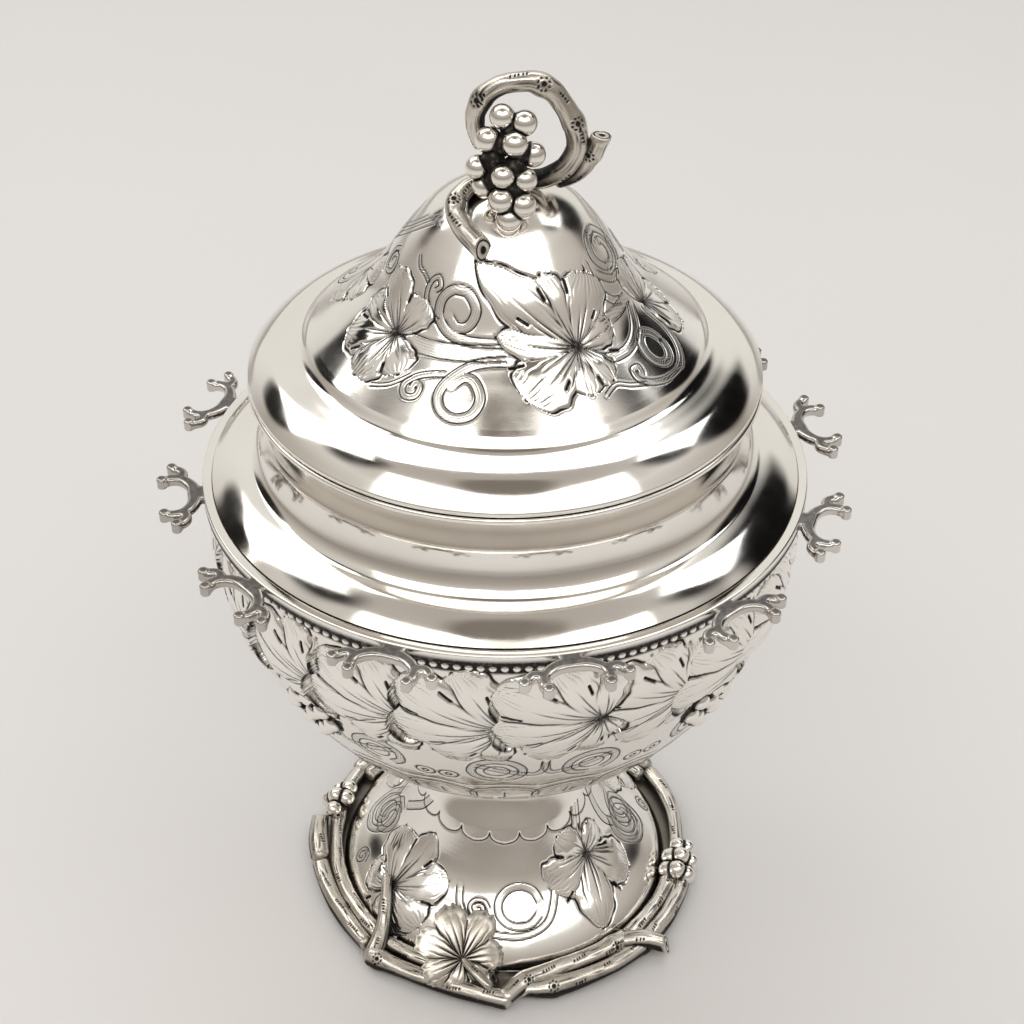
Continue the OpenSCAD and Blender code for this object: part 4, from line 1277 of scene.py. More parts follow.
# How the end of a branch is closed: share of the radius, how far out, and how dark.
PRUNED_END = [
    (1, 0.02, 0.1), (0.9, 0.1, 0.1), (0.78, 0.08, 1), (0.66, 0.1, 0.2), (0.36, 0.12, 0.15),
    (0.26, 0.04, 1), (0.1, 0.02, 1)
]
BURIED_END = [(0.85, 0.35, 0.3), (0.6, 0.6, 0.3), (0.3, 0.72, 0.3)]


def branch(
    name, path, radius, body, nodes, seed, knots=(), cuts=(False, False), shade=None, sides=44, step=0.34
):
    """A piece of cast vine. path is in millimetres, radius is one number for each of its points.
    cuts says whether each end is a pruned end, with its rings, or is buried in another piece."""
    table = angular(np.column_stack([path, radius]))
    fine = lengths(smooth(table[:, :3], 8))
    line, run = even(smooth(table[:, :3], 8), step)
    share = smooth(table, 8)[:, 3]
    thick = np.interp(run, fine, share)
    forward, side, up = frames_along(line, (0, 0, 1) if abs(np.ptp(line[:, 2])) < 12 else (0, 1, 0))
    around = np.arange(sides) * 2 * math.pi / sides
    face = np.unwrap(np.arctan2(up @ VIEWED_FROM, side @ VIEWED_FROM))
    relief, oxide_and_shade = bark(run, around, thick, [k * run[-1] for k in knots], seed, face)
    reach = thick[:, None] + relief
    spoke = np.cos(around)[
        None, :, None
    ] * side[:, None, :] + np.sin(around)[None, :, None] * up[:, None, :]
    points = line[:, None, :] + reach[:, :, None] * spoke
    # shade adds painted shade, by the way each point faces, to the bark's oxide.
    if shade is not None:
        oxide_and_shade = np.maximum(oxide_and_shade, shade(points, spoke))
    rings = [(points[i], oxide_and_shade[i]) for i in range(len(run))]
    for end, pruned in ((0, cuts[0]), (-1, cuts[1])):
        way = forward[end] * (-1 if end == 0 else 1)
        profile = PRUNED_END if pruned else BURIED_END
        caps = []
        for scale, out, dark in profile:
            spread = (points[end] - line[end]) * scale
            slant = SLANT / 2 * (thick[end] - spread[:, 2:]) if pruned else 0.0
            caps.append((line[end] + way * (out * thick[end] + slant) + spread, dark))
        tip = profile[-1][1] + (SLANT / 2 if pruned else 0)
        caps.append((np.array([line[end] + way * tip * thick[end]]), profile[-1][2]))
        rings = caps[::-1] + rings if end == 0 else rings + caps
    return turned(name, rings, cast_bark, body, nodes, sharp=None, closed=False)


def shade_low(points, spoke):
    """Painted shade on the sides and underneath of the wreath, darker the further a face turns from
    straight up, together with oxide where a polishing cloth can't reach.
    """
    return np.clip(0.92 - 1.25 * spoke[..., 2], 0, 0.97)


# %% [markdown]
# ## The wreath
# The foot stands in a vine that runs round it in a flat polygon: an outer and an inner branch,
# crossing at the front corner, with pruned stubs, two bunches of grapes at the sides, a leaf and
# a twig that climbs on to the foot. Each branch is laid out by how far it lies outside the
# wreath's middle line, its angle, its height above the ring and how thick it is there.

# %% Wreath branches
wreath_r = apron_r
VINE_R = 2.4
UP = VINE_R
# The castings are a little fuller than the frame's round bars.
FULLER = 1.1


def on_wreath(q):
    a = math.radians(q[1])
    return ((wreath_r + q[0]) * math.cos(a), (wreath_r + q[0]) * math.sin(a), apron_t + SOLDER + q[2])


wreath = {
    "vine_front_left": [
        (5.2, 270.4, UP, 1), (3.2, 261, UP, 0.95), (2.4, 250, UP, 0.9), (2.6, 239, UP, 0.95),
        (4, 229, UP, 1.05)
    ],
    "vine_front_inner": [
        (-2.6, 230, UP, 0.8), (-2.8, 242, UP, 0.85), (-3, 254, UP, 0.8), (-2.4, 265, UP, 0.75)
    ],
    "vine_front_right": [
        (4.4, 270.2, UP + 0.5, 1), (-0.6, 276, UP + 0.8, 1), (-2.6, 285, UP + 0.6, 1),
        (-3, 298, UP + 0.4, 1), (-2.4, 312, UP + 0.4, 1.15)
    ],
    "vine_cut_stub": [
        (-1.4, 312, UP + 1.2, 0.95), (2.2, 315.4, UP + 2.8, 0.95), (6, 318.2, UP + 1.6, 0.9)
    ],
    "vine_right_outer": [
        (1.6, 277, UP, 0.85), (2.4, 284, UP, 1.1), (2.2, 296, UP, 0.9), (2.4, 308, UP, 0.95),
        (2.2, 322, UP, 0.95), (1.8, 336, UP, 0.9), (1.6, 347, UP, 0.85)
    ],
    "vine_right_inner": [
        (-2.6, 315, UP, 0.95), (-2.8, 326, UP, 0.9), (-2.6, 338, UP, 0.85), (-1.8, 350, UP, 0.8),
        (-0.8, 364, UP, 0.8), (0.6, 380, UP, 0.85), (0.8, 392, UP, 0.9)
    ],
    "vine_left_outer": [(2, 224, UP, 0.85), (1.4, 212, UP, 0.9), (1.6, 200, UP, 0.9), (2, 190, UP, 0.95)],
    "vine_left_inner": [
        (-2.4, 225, UP, 0.9), (-2.9, 212, UP, 0.85), (-2.8, 198, UP, 0.85), (-2.6, 184, UP, 0.8),
        (-1.6, 171, UP, 0.8), (0.2, 158, UP, 0.85), (0.8, 148, UP, 0.9)
    ],
    "vine_left_stub": [(2.2, 186, UP, 1.05), (3, 179, UP + 0.3, 1.1), (3.6, 172, UP + 0.6, 0.95)],
    "vine_left_twig": [
        (4, 229.5, UP, 1.05), (-2, 227, UP + 2, 0.85), (-7.6, 222, UP + 6.5, 0.7),
        (-12, 214.5, UP + 10.6, 0.55)
    ],
    "vine_back_left": [
        (1.6, 146, UP, 0.9), (2.2, 134, UP, 0.95), (2.4, 120, UP, 0.9), (3.2, 104, UP, 0.95),
        (5.2, 90, UP, 1)
    ],
    "vine_back_right": [
        (5, 91, UP + 0.3, 1), (2.8, 78, UP, 0.95), (2.2, 64, UP, 0.9), (2.4, 50, UP, 0.95),
        (1.8, 36, UP, 0.9)
    ],
    "vine_back_inner": [
        (-2.6, 34, UP, 0.85), (-2.9, 50, UP, 0.85), (-2.8, 68, UP, 0.8), (-2.6, 88, UP, 0.8),
        (-2.8, 108, UP, 0.8), (-2.9, 128, UP, 0.85), (-2.6, 146, UP, 0.85)
    ],
    "vine_leaf_stalk": [
        (-3.4, 257, UP + 4.6, 0.5), (-0.4, 261, UP + 4, 0.55), (2.6, 265.5, UP + 2.7, 0.6)
    ],
}
pruned = {
    "vine_cut_stub": (False, True),
    "vine_right_outer": (True, False),
    "vine_left_stub": (False, True),
    "vine_left_outer": (False, True),
    "vine_front_inner": (False, True),
    "vine_front_right": (False, True),
}
elbows = {
    "vine_front_left": (0.93,),
    "vine_front_right": (0.2, 0.9),
    "vine_right_outer": (0.1, 0.55),
    "vine_back_left": (0.85,),
    "vine_back_right": (0.5,),
    "vine_left_inner": (0.7,),
    "vine_right_inner": (0.35,),
}
for number, (name, q) in enumerate(wreath.items()):
    path = [on_wreath(p) for p in q]
    thick = [FULLER * VINE_R * p[3] for p in q]
    branch(
        name + "_bark", path, thick, "bowl", [name], 11 + number, elbows.get(name, ()), pruned.get(
            name, (False, False)
        ), shade_low
    )


# %% [markdown]
# ## The leaves on the wreath
# These two were cast by themselves, so they have an edge and an underside. The same lobes make
# the outline: on each spoke out from the stalk the leaf ends where no lobe reaches further.

# %% Cast leaves
CAST_LEAF = [
    (0, 15.5, 10), (47, 14.5, 9), (-48, 15, 9), (97, 12, 8.5), (-98, 12, 8.5), (150, 8.5, 8),
    (-150, 8.5, 8)
]
LEAF_TILT, LEAF_T = 38, 1.3


def cast_leaf(name, angle, turn, node):
    cols, rows = 240, 30
    a = np.arange(cols) * 2 * math.pi / cols
    far = np.linspace(0.5, 22, 130)
    x, y = far[:, None] * np.cos(a), far[:, None] * np.sin(a)
    inside = np.zeros(x.shape, bool)
    for lobe in CAST_LEAF:
        inside |= lobe_fields(x, y, lobe, False)[0] < 0
    edge = np.array([far[np.nonzero(inside[:, j])[0]].max(initial=1.6) for j in range(cols)])
    edge = (np.roll(edge, 1) + 2 * edge + np.roll(edge, -1)) / 4
    edge = edge * (1 + 0.02 * np.sin(a * 31) + 0.015 * np.sin(a * 47 + 1))
    rings = [(np.array([[0, 0, 0.15]]), 0.6)]
    rings += [
        (np.column_stack([k * edge * np.cos(a), k * edge * np.sin(a), np.full(cols, 0.15)]), 0.6)
        for k in (0.4, 0.8, 0.97)
    ]
    for k in np.linspace(1, 0.04, rows):
        x, y = k * edge * np.cos(a), k * edge * np.sin(a)
        body, veins, second = np.zeros(cols), np.zeros(cols), np.zeros(cols)
        for lobe in CAST_LEAF:
            out, cushion, along, across = lobe_fields(x, y, lobe, False)
            top = cushion * (0.4 + 0.6 * np.sin(np.pi * along**0.9))
            fan = np.zeros(cols)
            for c in (-0.5, 0, 0.5):
                gap = np.abs(across - c) * 0.5 * lobe[2] * np.clip(1.4 * along + 0.12, 0, 1)
                fan = np.maximum(fan, np.exp(-((gap / 0.22) ** 2)))
            fan = fan * np.clip(1.3 - 1.5 * along, 0, 1)
            better = (top > body) & (out < 0)
            second = np.where(better, body, np.where((out < 0) & (top > second), top, second))
            body, veins = np.where(better, top, body), np.where(better, fan, veins)
        crease = np.exp(-(((body - second) / 0.1) ** 2)) * np.clip(second * 5, 0, 1)
        crease = crease * np.clip(4 * k - 0.9, 0, 1)
        veins = np.maximum(veins, 1.4 * crease)
        curl = 0.5 * np.clip(k - 0.8, 0, 1) / 0.2
        z = LEAF_T * 0.55 + 1.35 * body - 0.3 * veins + curl * 0.5 + 0.3 * k * np.sin(5 * a)
        dark = np.maximum(
            1.0 * veins, np.clip(1 - 2.0 * body, 0, 1) * 0.9 * (1 - np.clip(k - 0.9, 0, 1) * 8)
        )
        rings.append((np.column_stack([x, y, np.maximum(z, 0.3)]), dark))
    rings.append((np.array([[0, 0, LEAF_T * 0.8]]), 0.5))
    spot = Matrix.Translation(Vector(on_wreath((-3.6, angle, 2 * VINE_R + 2.3))))
    lay = spot @ Matrix.Rotation(math.radians(angle + 180 + turn), 4, "Z")
    lay = np.array(lay @ Matrix.Rotation(math.radians(-LEAF_TILT), 4, "Y"))
    placed = [(p @ lay[:3, :3].T + lay[:3, 3], o) for p, o in rings]
    turned(name, placed, cast_bark, "bowl", [node], sharp=None, closed=False)


cast_leaf("leaf_front_cast", 256, 36, "vine_leaf_front")
cast_leaf("leaf_back_cast", 76, -36, "vine_leaf_back")

# %% [markdown]
# ## Grapes
# A bunch is a list of places, and every grape in it is the same ball, a little fuller or smaller.
# That is again instances on points: the tree reads each point's own size. The balls that fill the
# heart of the bunch only show between the others, so they are made fully dark as painted shade
# in the gaps, and where two grapes come close each is darkened by painted shade and oxide.

# %% The tree for a bunch
bunch_tree = node_tree(
    "bunch_of_grapes", [("Grape Radius", FLOAT, 0.0026), ("Material", "NodeSocketMaterial", None)]
)
given = bunch_tree.nodes.new("NodeGroupInput").outputs
ball = add(
    bunch_tree, "GeometryNodeMeshUVSphere", links={"Radius": given["Grape Radius"]}, Segments=28,
    Rings=18
)
size = add(bunch_tree, "GeometryNodeInputNamedAttribute", {"data_type": "FLOAT"}, Name="size")
row = add(
    bunch_tree,
    "GeometryNodeInstanceOnPoints",
    links={
        "Points": given["Geometry"], "Instance": ball.outputs["Mesh"], "Scale": size.outputs["Attribute"]
    },
)
close_tree(bunch_tree, row.outputs["Instances"], given["Material"])


def bunch(name, centres, core, radius, body, node):
    spots = np.array(list(centres) + list(core), float)
    sizes = np.array([1 + 0.05 * math.sin(7 * i) for i in range(len(centres))] + [0.97] * len(core))
    source = bpy.data.meshes.new(name + "_places")
    source.from_pydata((spots * MM).tolist(), [], [])
    source.attributes.new("size", "FLOAT", "POINT").data.foreach_set("value", sizes.astype(np.float32))
    mesh = grow(name, bunch_tree, {"Grape Radius": radius * MM, "Material": cast_grapes}, source)
    co = point_values(mesh) / MM
    each = len(co) // len(spots)
    owner = np.repeat(np.arange(len(spots)), each)[: len(co)]
    gap = np.linalg.norm(co[:, None, :] - spots[None], axis=2) - (radius * sizes)[None]
    gap[np.arange(len(co)), owner] = 9
    # Painted shade, with oxide, where a grape comes close to another; the heart balls are fully dark as
    # painted shade.
    oxide_and_shade = np.clip(1.15 - gap.min(axis=1) / 0.75, 0, 1)
    oxide_and_shade = np.where(owner >= len(centres), 1.0, oxide_and_shade)
    return finish_piece(mesh, name, cast_grapes, body, [node], oxide_and_shade)


# %% Bunches on the wreath
WREATH_GRAPE_R = 2.6
bunches = {
    "grapes_left": (
        163,
        [(-1.2, -5.6, 2), (1.6, -5, 0.6), (-2.4, 0.2, 3), (0.6, 0.4, 3.4), (3, 0, 0.8), (0, 5.4, 2.4)]
    ),
    "grapes_right": (
        350,
        [
            (-3.4, -5.2, 2), (-0.6, -5.4, 3.2), (2.2, -5, 1.4), (-3.2, 0.2, 2.6), (-0.2, 0, 3.8),
            (2.8, 0.4, 1.4), (-1.4, 5.4, 2.6), (1.4, 5.6, 1.8)
        ]
    ),
    "grapes_back": (
        118,
        [(-2.8, -5, 2.2), (0.2, -5.2, 3.2), (-3, 0.4, 2.8), (0, 0, 3.8), (2.8, 0.2, 1.4), (-1, 5.2, 2.6)]
    ),
}
for name, (middle, places) in bunches.items():
    centres = [on_wreath((q[0], middle + q[1], WREATH_GRAPE_R + q[2])) for q in places]
    core = [on_wreath((-1, middle + 2.4 * side, 0.98 + WREATH_GRAPE_R)) for side in (-1, 1)]
    bunch(name + "_cast", centres, core, WREATH_GRAPE_R, "bowl", name)

# %% [markdown]
# ## The finial
# The lid is lifted by a bent vine: it rises from the crown, goes round in a many-cornered loop and
# comes down behind a bunch of grapes. A spur was left on its right side, and a pruned twig lies
# down the front of the dome. The loop's corners are where the shoots were cut, so each one has a
# knot with a ring of punched dots.

# %% Finial branches
FINIAL_VINE_R, HALF_W, FINIAL_H, FINIAL_GRAPE_R = 2.3, 12.0, 23.6, 2.55
LOOP_Y = -3.6
loop_z = crown + FINIAL_VINE_R - 0.9


def on_loop(across, rise, y=0.0):
    return (4.6 + across * HALF_W, LOOP_Y + y, loop_z + rise * FINIAL_H)


def dome_height(r):
    return float(np.interp(r, dome_line.p[::-1, 0], dome_line.p[::-1, 1]))


def on_dome(r, angle, more):
    a = math.radians(angle)
    return (r * math.cos(a), r * math.sin(a), dome_height(r) + more)


def shade_loop(points, spoke):
    """Painted shade on the loop's inner side and round its root, with more of it behind the grapes."""
    middle = np.array(on_loop(0.02, 0.5))
    inward = -(spoke * (points - middle)).sum(axis=2) / np.maximum(
        np.linalg.norm(points - middle, axis=2), 1
    )
    root = np.clip(1 - (points[..., 2] - crown) / 6, 0, 1)
    behind_grapes = np.clip((2 - points[..., 0]) / 6, 0, 1)
    return np.clip(
        np.clip(1.3 * inward - 0.1, 0, 1) * (0.6 + behind_grapes) + 0.8 * root * (inward > -0.6), 0, 0.95
    )


loop = [
    (-0.42, 0.03, 1.6), (0.1, -0.03, 1), (0.55, 0.06), (0.88, 0.22), (0.98, 0.45), (0.7, 0.76),
    (0.32, 0.99)
]
loop += [(-0.22, 1.01), (-0.66, 0.93), (-0.92, 0.76), (-0.96, 0.56), (-0.86, 0.38, -0.4)]
loop_share = [0.8, 0.95, 1, 1, 1.08, 1, 1.1, 1, 1, 0.98, 0.9, 0.72]
spur = [(0.62, -0.04, 1.2), (0.98, 0.05, 1), (1.22, 0.24, 0.6), (1.34, 0.4, 0)]
lie = 0.8 * FINIAL_VINE_R
twig = [
    (6, 215, lie + 0.4), (11.5, 212, lie + 0.6), (15.6, 222, lie + 0.6), (17.6, 236, lie + 0.5),
    (19.4, 251, lie + 0.2)
]


def shade_twig(points, spoke):
    """Painted shade under the twig, where it lies on the dome."""
    return np.clip(0.25 - 0.9 * spoke[..., 2], 0, 0.9)


# Node, path, thickness as shares of the vine's, seed, knots, whether the far end is pruned, painted shade.
finial = [
    ("finial_loop", [on_loop(*p) for p in loop], loop_share, 5, (0.42, 0.6, 0.83), False, shade_loop),
    ("finial_spur", [on_loop(*p) for p in spur], (0.7, 0.82, 0.85, 0.95), 8, (0.75,), True, shade_loop),
    (
        "finial_twig", [on_dome(*p) for p in twig], (0.85, 1, 1.05, 1.12, 1.1), 9, (0.45,), True,
        shade_twig
    ),
]
for node, path, shares, seed, knots, cut_off, shade in finial:
    thick = [FINIAL_VINE_R * share for share in shares]
    branch(node + "_bark", path, thick, "lid", [node], seed, knots, (False, cut_off), shade)

# %% The finial's grapes
hang = [
    (-0.8, 6.6, 23.4), (4.2, 6.2, 22), (-4, 5.8, 17.8), (2, 3.6, 17.8), (6.2, 5.2, 14.4),
    (-6.5, 4.6, 11.2)
]
hang += [(-0.7, 1.2, 10.6), (4.4, 2.2, 9.2), (-4.9, 3.6, 6.8), (-1.1, 0, 5), (4, 0.4, 3.4), (0.7, 0, 0)]
heart = [
    (1.4, 7, 20.4), (-1.2, 5.6, 16.6), (3.4, 5, 15), (-3, 4.6, 13.2), (2, 3.6, 11.8), (-2.6, 3.4, 8.6)
]
heart += [(2, 2.4, 6.4), (1.6, 1.4, 2.8)]
root = np.array([0, -15, dome_height(15) + 0.9 * FINIAL_GRAPE_R])
FULL = 1.12
CLOSER = np.array([0.96, 1, 0.91])
root_places = [root + CLOSER * g for g in hang], [root + CLOSER * g for g in heart]
bunch("finial_grapes_cast", *root_places, FULL * FINIAL_GRAPE_R, "lid", "finial_grapes")

# %% [markdown]
# ## Spoon rests
# Twelve little forks stand out round the shoulder, each cast with a mouth that takes the handle of
# a teaspoon and four curled tips. One fork is built from swept bars, melted into a single soft
# casting by a voxel remesh, and then set twelve times round the bowl by a tree.


# %% One rest
def bar(path, half_w, half_h, squareness=3.2, sides=20):
    """Rings of a bar with a soft rectangular section that lies flat along a level path."""
    line, _ = even(np.asarray(path, float), 0.45)
    forward, side, _ = frames_along(line, (0, 0, 1))
    a = np.arange(sides) * 2 * math.pi / sides
    p = 2 / squareness
    w = np.sign(np.cos(a)) * np.abs(np.cos(a)) ** p
    h = np.sign(np.sin(a)) * np.abs(np.sin(a)) ** p
    taper = np.interp(np.linspace(0, 1, len(line)), np.linspace(0, 1, len(half_w)), half_w)
    upward = np.array([0, 0, 1.0])
    rings = [
        line[i] + taper[i] * w[:, None] * side[i] + half_h * h[:, None] * upward
        for i in range(len(line))
    ]
    return [line[:1]] + rings + [line[-1:]]


rest_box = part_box("spoon_rest_01")
REST_T, KNOB_UP, KNOB_R = 2.4, 0.7, 1.35
rest_mid = (rest_box[0].z + rest_box[1].z) / 2 / MM
MOUTH_DEEP, MOUTH_HALF, BAR_W, STEM_OUT, KNOB_HALF = 4.3, 6.4, 2.1, 3.0, 11.8
back = lip_r + STEM_OUT
centre_x = back + MOUTH_DEEP
arc = [
    (
        centre_x - (MOUTH_DEEP + BAR_W / 2) * math.cos(math.radians(a)),
        (MOUTH_HALF + BAR_W / 2) * math.sin(math.radians(a)), rest_mid
    )
    for a in range(-112, 113, 6)
]
bars = [bar(arc, [1.35, 1.35, 1.6, 2.0, 1.6, 1.35, 1.35], REST_T / 2)]
bars.append(
    bar([(lip_r - 0.6, 0, rest_mid), (back + 0.6, 0, rest_mid)], [3.4, 2.6, 3.4], REST_T / 2 - 0.05)
)
knobs = []
for side in (-1, 1):
    knob = (back + 0.95 * MOUTH_DEEP, side * KNOB_HALF, rest_mid)
    shoulder_of_arm = (centre_x - 0.5 * MOUTH_DEEP, side * (MOUTH_HALF + 0.6), rest_mid)
    elbow = (centre_x - 0.62 * MOUTH_DEEP, side * (MOUTH_HALF + 3.2), rest_mid)
    bars.append(bar(smooth([shoulder_of_arm, elbow, knob], 8), [1.7, 1.35, 1.3, 1.4], REST_T / 2))
    tip = (
        back + MOUTH_DEEP * (1 - math.cos(math.radians(112))) + 0.9,
        side * (MOUTH_HALF + BAR_W / 2) * math.sin(math.radians(112)), rest_mid
    )
    knobs += [knob, tip]
rest_points, rest_faces, start = [], [], 0
for rings in bars:
    counts = [len(r) for r in rings]
    rest_faces += [f + start for f in skin(counts, False)]
    rest_points.append(np.vstack(rings))
    start += sum(counts)
knob_profile = [
    (0, -1), (0.55, -1), (0.85, -0.93), (0.98, -0.75), (0.94, 0), (0.98, 0.75), (0.85, 0.93), (0.55, 1),
    (0, 1)
]
for x, y, z in knobs:
    rings = [
        ring(
            KNOB_R * r, (REST_T + KNOB_UP) / 2 * h, 24 if r else 1
        ) + np.array([x, y, z]) for r, h in knob_profile
    ]
    counts = [len(r) for r in rings]
    rest_faces += [f + start for f in skin(counts, False)]
    rest_points.append(np.vstack(rings))
    start += sum(counts)
one_rest = bpy.data.objects.new("one_rest", build_mesh("one_rest", np.vstack(rest_points), rest_faces))
bpy.context.scene.collection.objects.link(one_rest)
melt = one_rest.modifiers.new("melt", "REMESH")
melt.mode, melt.voxel_size, melt.use_smooth_shade = "VOXEL", 0.27 * MM, True
ease = one_rest.modifiers.new("ease", "SMOOTH")
ease.factor, ease.iterations = 0.5, 3
bpy.context.view_layer.update()
melted = bpy.data.meshes.new_from_object(one_rest.evaluated_get(bpy.context.evaluated_depsgraph_get()))
bpy.data.objects.remove(one_rest)
print("one rest:", len(melted.polygons), "faces")

# %% The tree that sets the rests round the bowl
REST_COUNT, REST_PHASE = 12, 11.0
rest_tree = node_tree(
    "ring_of_rests",
    [("Count", INT, 12), ("First Angle", FLOAT, 0.0), ("Material", "NodeSocketMaterial", None)],
)
given = rest_tree.nodes.new("NodeGroupInput").outputs
spots = add(rest_tree, "GeometryNodeMeshLine", links={"Count": given["Count"]})
spots.inputs["Offset"].default_value = (0, 0, 0)
number = add(rest_tree, "GeometryNodeInputIndex")
share = add(
    rest_tree, "ShaderNodeMath", {"operation": "DIVIDE"}, {0: number.outputs[0], 1: given["Count"]}
)
angle = add(
    rest_tree, "ShaderNodeMath", {"operation": "MULTIPLY_ADD"},
    {0: share.outputs[0], 2: given["First Angle"]}
)
angle.inputs[1].default_value = 2 * math.pi
about = add(rest_tree, "ShaderNodeCombineXYZ", links={"Z": angle.outputs[0]})
row = add(
    rest_tree,
    "GeometryNodeInstanceOnPoints",
    links={"Points": spots.outputs["Mesh"], "Instance": given["Geometry"], "Rotation": about.outputs[0]},
)
close_tree(rest_tree, row.outputs["Instances"], given["Material"], smooth=False)
first_angle = math.radians(-90 + REST_PHASE)
mesh = grow(
    "spoon_rests_cast",
    rest_tree,
    {"Count": REST_COUNT, "First Angle": first_angle, "Material": rest_silver},
    melted,
)
# Painted dark reflection on the flat tops and bottoms, and painted shade on the sides next to the bowl.
flat = np.abs(point_values(mesh, "normal")[:, 2])
co = point_values(mesh) / MM
near_bowl = np.clip(1 - (np.hypot(co[:, 0], co[:, 1]) - lip_r) / 2.0, 0, 1)
rest_reflection_and_shade = np.clip((flat - 0.9) / 0.09, 0, 1) * 0.5 + 0.5 * near_bowl * (flat < 0.8)
rest_nodes = [f"spoon_rest_{k:02d}" for k in range(1, REST_COUNT + 1)]
finish_piece(mesh, "spoon_rests_cast", rest_silver, "bowl", rest_nodes, rest_reflection_and_shade)

# %% [markdown]
# ## The ring under the foot
# The foot is soldered to a flat ring that the wreath sits on. Little of it shows between the
# branches, and what does is black, so it only needs a rough skin and a true edge.

# %% Apron ring
apron_in = 2 * foot_r - apron_r
corners = [
    (apron_in, 0.15), (apron_in + 0.2, 0), (apron_r - 0.3, 0), (apron_r, 0.3), (apron_r, apron_t - 0.3),
    (apron_r - 0.3, apron_t)
]
corners += [
    (apron_r - 2.5, apron_t), (apron_in + 3, apron_t), (apron_in + 0.2, apron_t),
    (apron_in, apron_t - 0.15)
]
rings = []
spin = np.arange(360) * 2 * math.pi / 360
for k, (r, z) in enumerate(corners):
    rough = 0.05 * np.sin(23 * spin + k) + 0.04 * np.sin(41 * spin + 2 * k)
    rings.append((ring(r, z - np.abs(rough) * (z > 0.5), 360), 0.3))
turned("foot_ring_black", rings, black_ring, "bowl", ["foot_apron"], sharp=30)

# %% [markdown]
# ## Floor and light
# Polished silver is a picture of the room, so the light is most of the look. A broad pale sweep of
# paper stands under and behind the bowl. Large soft panels give the white shapes on the shoulder
# and lid, and the dark ends of those shapes come from the unlit parts of the studio between them.

# %% Floor
paper = bpy.data.materials.new("pale_paper_sweep")
paper.use_nodes = True
tree = paper.node_tree
tree.nodes.clear()
place = add(tree, "ShaderNodeTexCoord").outputs["Object"]
fibre = add(tree, "ShaderNodeTexNoise", links={"Vector": place}, Scale=900.0, Detail=4.0)
relief = add(
    tree, "ShaderNodeBump", links={"Height": fibre.outputs["Fac"]}, Strength=0.05, Distance=0.0002
)
mottle = add(tree, "ShaderNodeTexNoise", links={"Vector": place}, Scale=6.0, Detail=2.0)
tone = add(tree, "ShaderNodeValToRGB", links={"Fac": mottle.outputs["Fac"]})
tone.color_ramp.elements[0].color = linear("#DCDBDB")
tone.color_ramp.elements[1].color = linear("#E0DFDF")
sheet_shader = add(
    tree, "ShaderNodeBsdfPrincipled", links={
        "Base Color": tone.outputs["Color"], "Normal": relief.outputs["Normal"]
    }, Roughness=0.75
)
add(tree, "ShaderNodeOutputMaterial", links={"Surface": sheet_shader.outputs["BSDF"]})
mesh = bpy.data.meshes.new("floor")
# Half the floor's width in metres, so wide that no low view sees past its edge.
FLOOR_HALF = 40.0
corners = [(x * FLOOR_HALF, y * FLOOR_HALF, 0) for x, y in ((-1, -1), (1, -1), (1, 1), (-1, 1))]
mesh.from_pydata(corners, [], [(0, 1, 2, 3)])
floor = bpy.data.objects.new("floor", mesh)
mesh.materials.append(paper)
bpy.context.scene.collection.objects.link(floor)


# %% Lights
def towards(azimuth, elevation):
    """A direction. Azimuth 0 is behind the bowl and grows to the right."""
    a, e = math.radians(azimuth), math.radians(elevation)
    return Vector((math.sin(a) * math.cos(e), math.cos(a) * math.cos(e), math.sin(e)))


# The panels stand this far off and face a point at the bowl's middle height, both in metres.
PANEL_DISTANCE, AIM = 1.7, Vector((0, 0, 0.14))


def panel(name, azimuth, elevation, width, height, radiance, tint="#FFFFFF"):
    """A soft panel. Its angles are in degrees and its size is in metres. The radiance is what the
    silver mirrors, so two panels of one radiance look equally bright whatever their size."""
    light = bpy.data.lights.new(name, "AREA")
    light.shape, light.size, light.size_y = "RECTANGLE", width, height
    light.energy, light.color = math.pi * width * height * radiance, linear(tint)[:3]
    lamp = bpy.data.objects.new(name, light)
    lamp.location = towards(azimuth, elevation) * PANEL_DISTANCE + AIM
    lamp.rotation_euler = towards(azimuth, elevation).to_track_quat("Z", "Y").to_euler()
    bpy.context.scene.collection.objects.link(lamp)


panel("left_panel", -58, 46, 0.75, 0.95, 1.9, "#FFFDF8")
panel("right_panel", 64, 51, 0.6, 0.6, 1.9)
panel("front_left_panel", -146, 53, 1.35, 0.85, 1.45, "#FFFDF9")
panel("front_right_panel", 146, 53, 1.35, 0.85, 1.45, "#FFFDF9")
panel("front_scrim", 180, 53, 0.42, 0.85, 1.1, "#F4EFE8")
panel("top_panel", 0, 66, 1.4, 0.6, 2.1, "#FBFCFF")

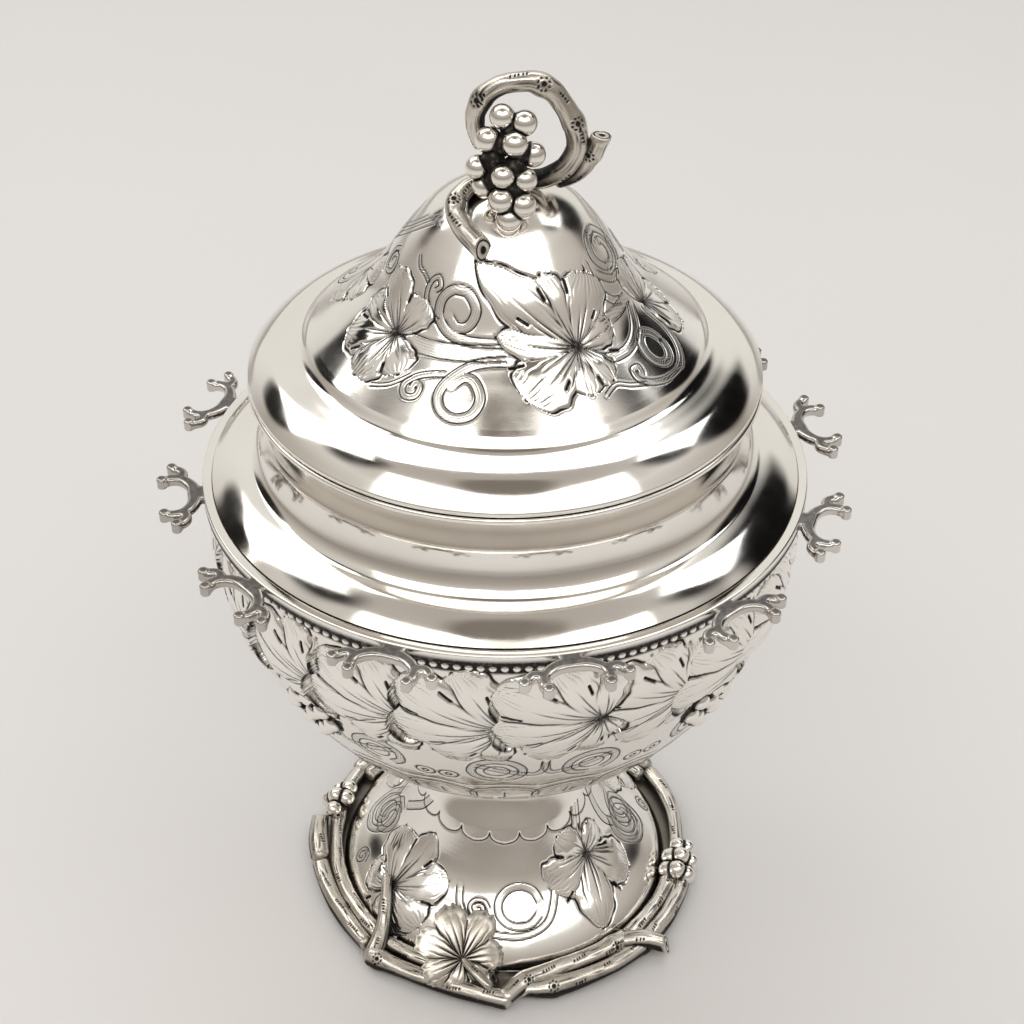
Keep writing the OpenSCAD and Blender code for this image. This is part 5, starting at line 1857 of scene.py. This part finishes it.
# %% The room
world = bpy.data.worlds.new("studio")
bpy.context.scene.world = world
world.use_nodes = True
tree = world.node_tree
tree.nodes.clear()
way = add(tree, "ShaderNodeTexCoord").outputs["Generated"]
parts = add(tree, "ShaderNodeSeparateXYZ", links={"Vector": way})
ramp = add(tree, "ShaderNodeValToRGB", links={"Fac": parts.outputs["Z"]})
# The room's tone from straight down (0) to straight up (1).
stops = [
    (0.0, "#928B84"), (0.2, "#A79F97"), (0.45, "#BCB5AD"), (0.7, "#D5D0CA"), (0.88, "#BAB4AD"),
    (1.0, "#ADA69F")
]
ramp.color_ramp.elements[0].position, ramp.color_ramp.elements[0].color = stops[0][0], linear(stops[0][1])
ramp.color_ramp.elements[1].position, ramp.color_ramp.elements[1].color = stops[-1][0], linear(stops[-1][1])
for position, tone in stops[1:-1]:
    ramp.color_ramp.elements.new(position).color = linear(tone)
seen = ramp.outputs["Color"]
# Round parts of the room that are paler or darker: azimuth, elevation, radius and softness of the
# edge in degrees, and tone. The dark ones are what gives the silver its black shapes.
PATCHES = [
    (0, 12, 48, 16, "#E3E0DA"),
    (53, 31, 18, 4, "#0E0D0D"),
    (76, 50, 9, 4, "#3A3734"),
    (-56, 25, 11, 3, "#1E1C1B"),
    (-76, 54, 9, 4, "#2C2A28"),
    (180, 78, 12, 3, "#7B746B"),
]
for azimuth, elevation, reach, soft_edge, tone in PATCHES:
    near = add(tree, "ShaderNodeVectorMath", {"operation": "DOT_PRODUCT"}, {0: way})
    near.inputs[1].default_value = towards(azimuth, elevation)
    mask = add(
        tree, "ShaderNodeMapRange", {"interpolation_type": "SMOOTHSTEP"},
        {"Value": near.outputs["Value"]}
    )
    mask.inputs["From Min"].default_value = math.cos(math.radians(reach + soft_edge))
    mask.inputs["From Max"].default_value = math.cos(math.radians(reach - soft_edge))
    mix = add(tree, "ShaderNodeMix", {"data_type": "RGBA"})
    tree.links.new(mask.outputs["Result"], mix.inputs["Factor"])
    tree.links.new(seen, mix.inputs["A"])
    mix.inputs["B"].default_value = linear(tone)
    seen = mix.outputs["Result"]
ROOM_STRENGTH = 1.08
light = add(tree, "ShaderNodeBackground", links={"Color": seen}, Strength=ROOM_STRENGTH)
add(tree, "ShaderNodeOutputWorld", links={"Surface": light.outputs["Background"]})
bpy.context.scene.view_settings.view_transform = "Standard"
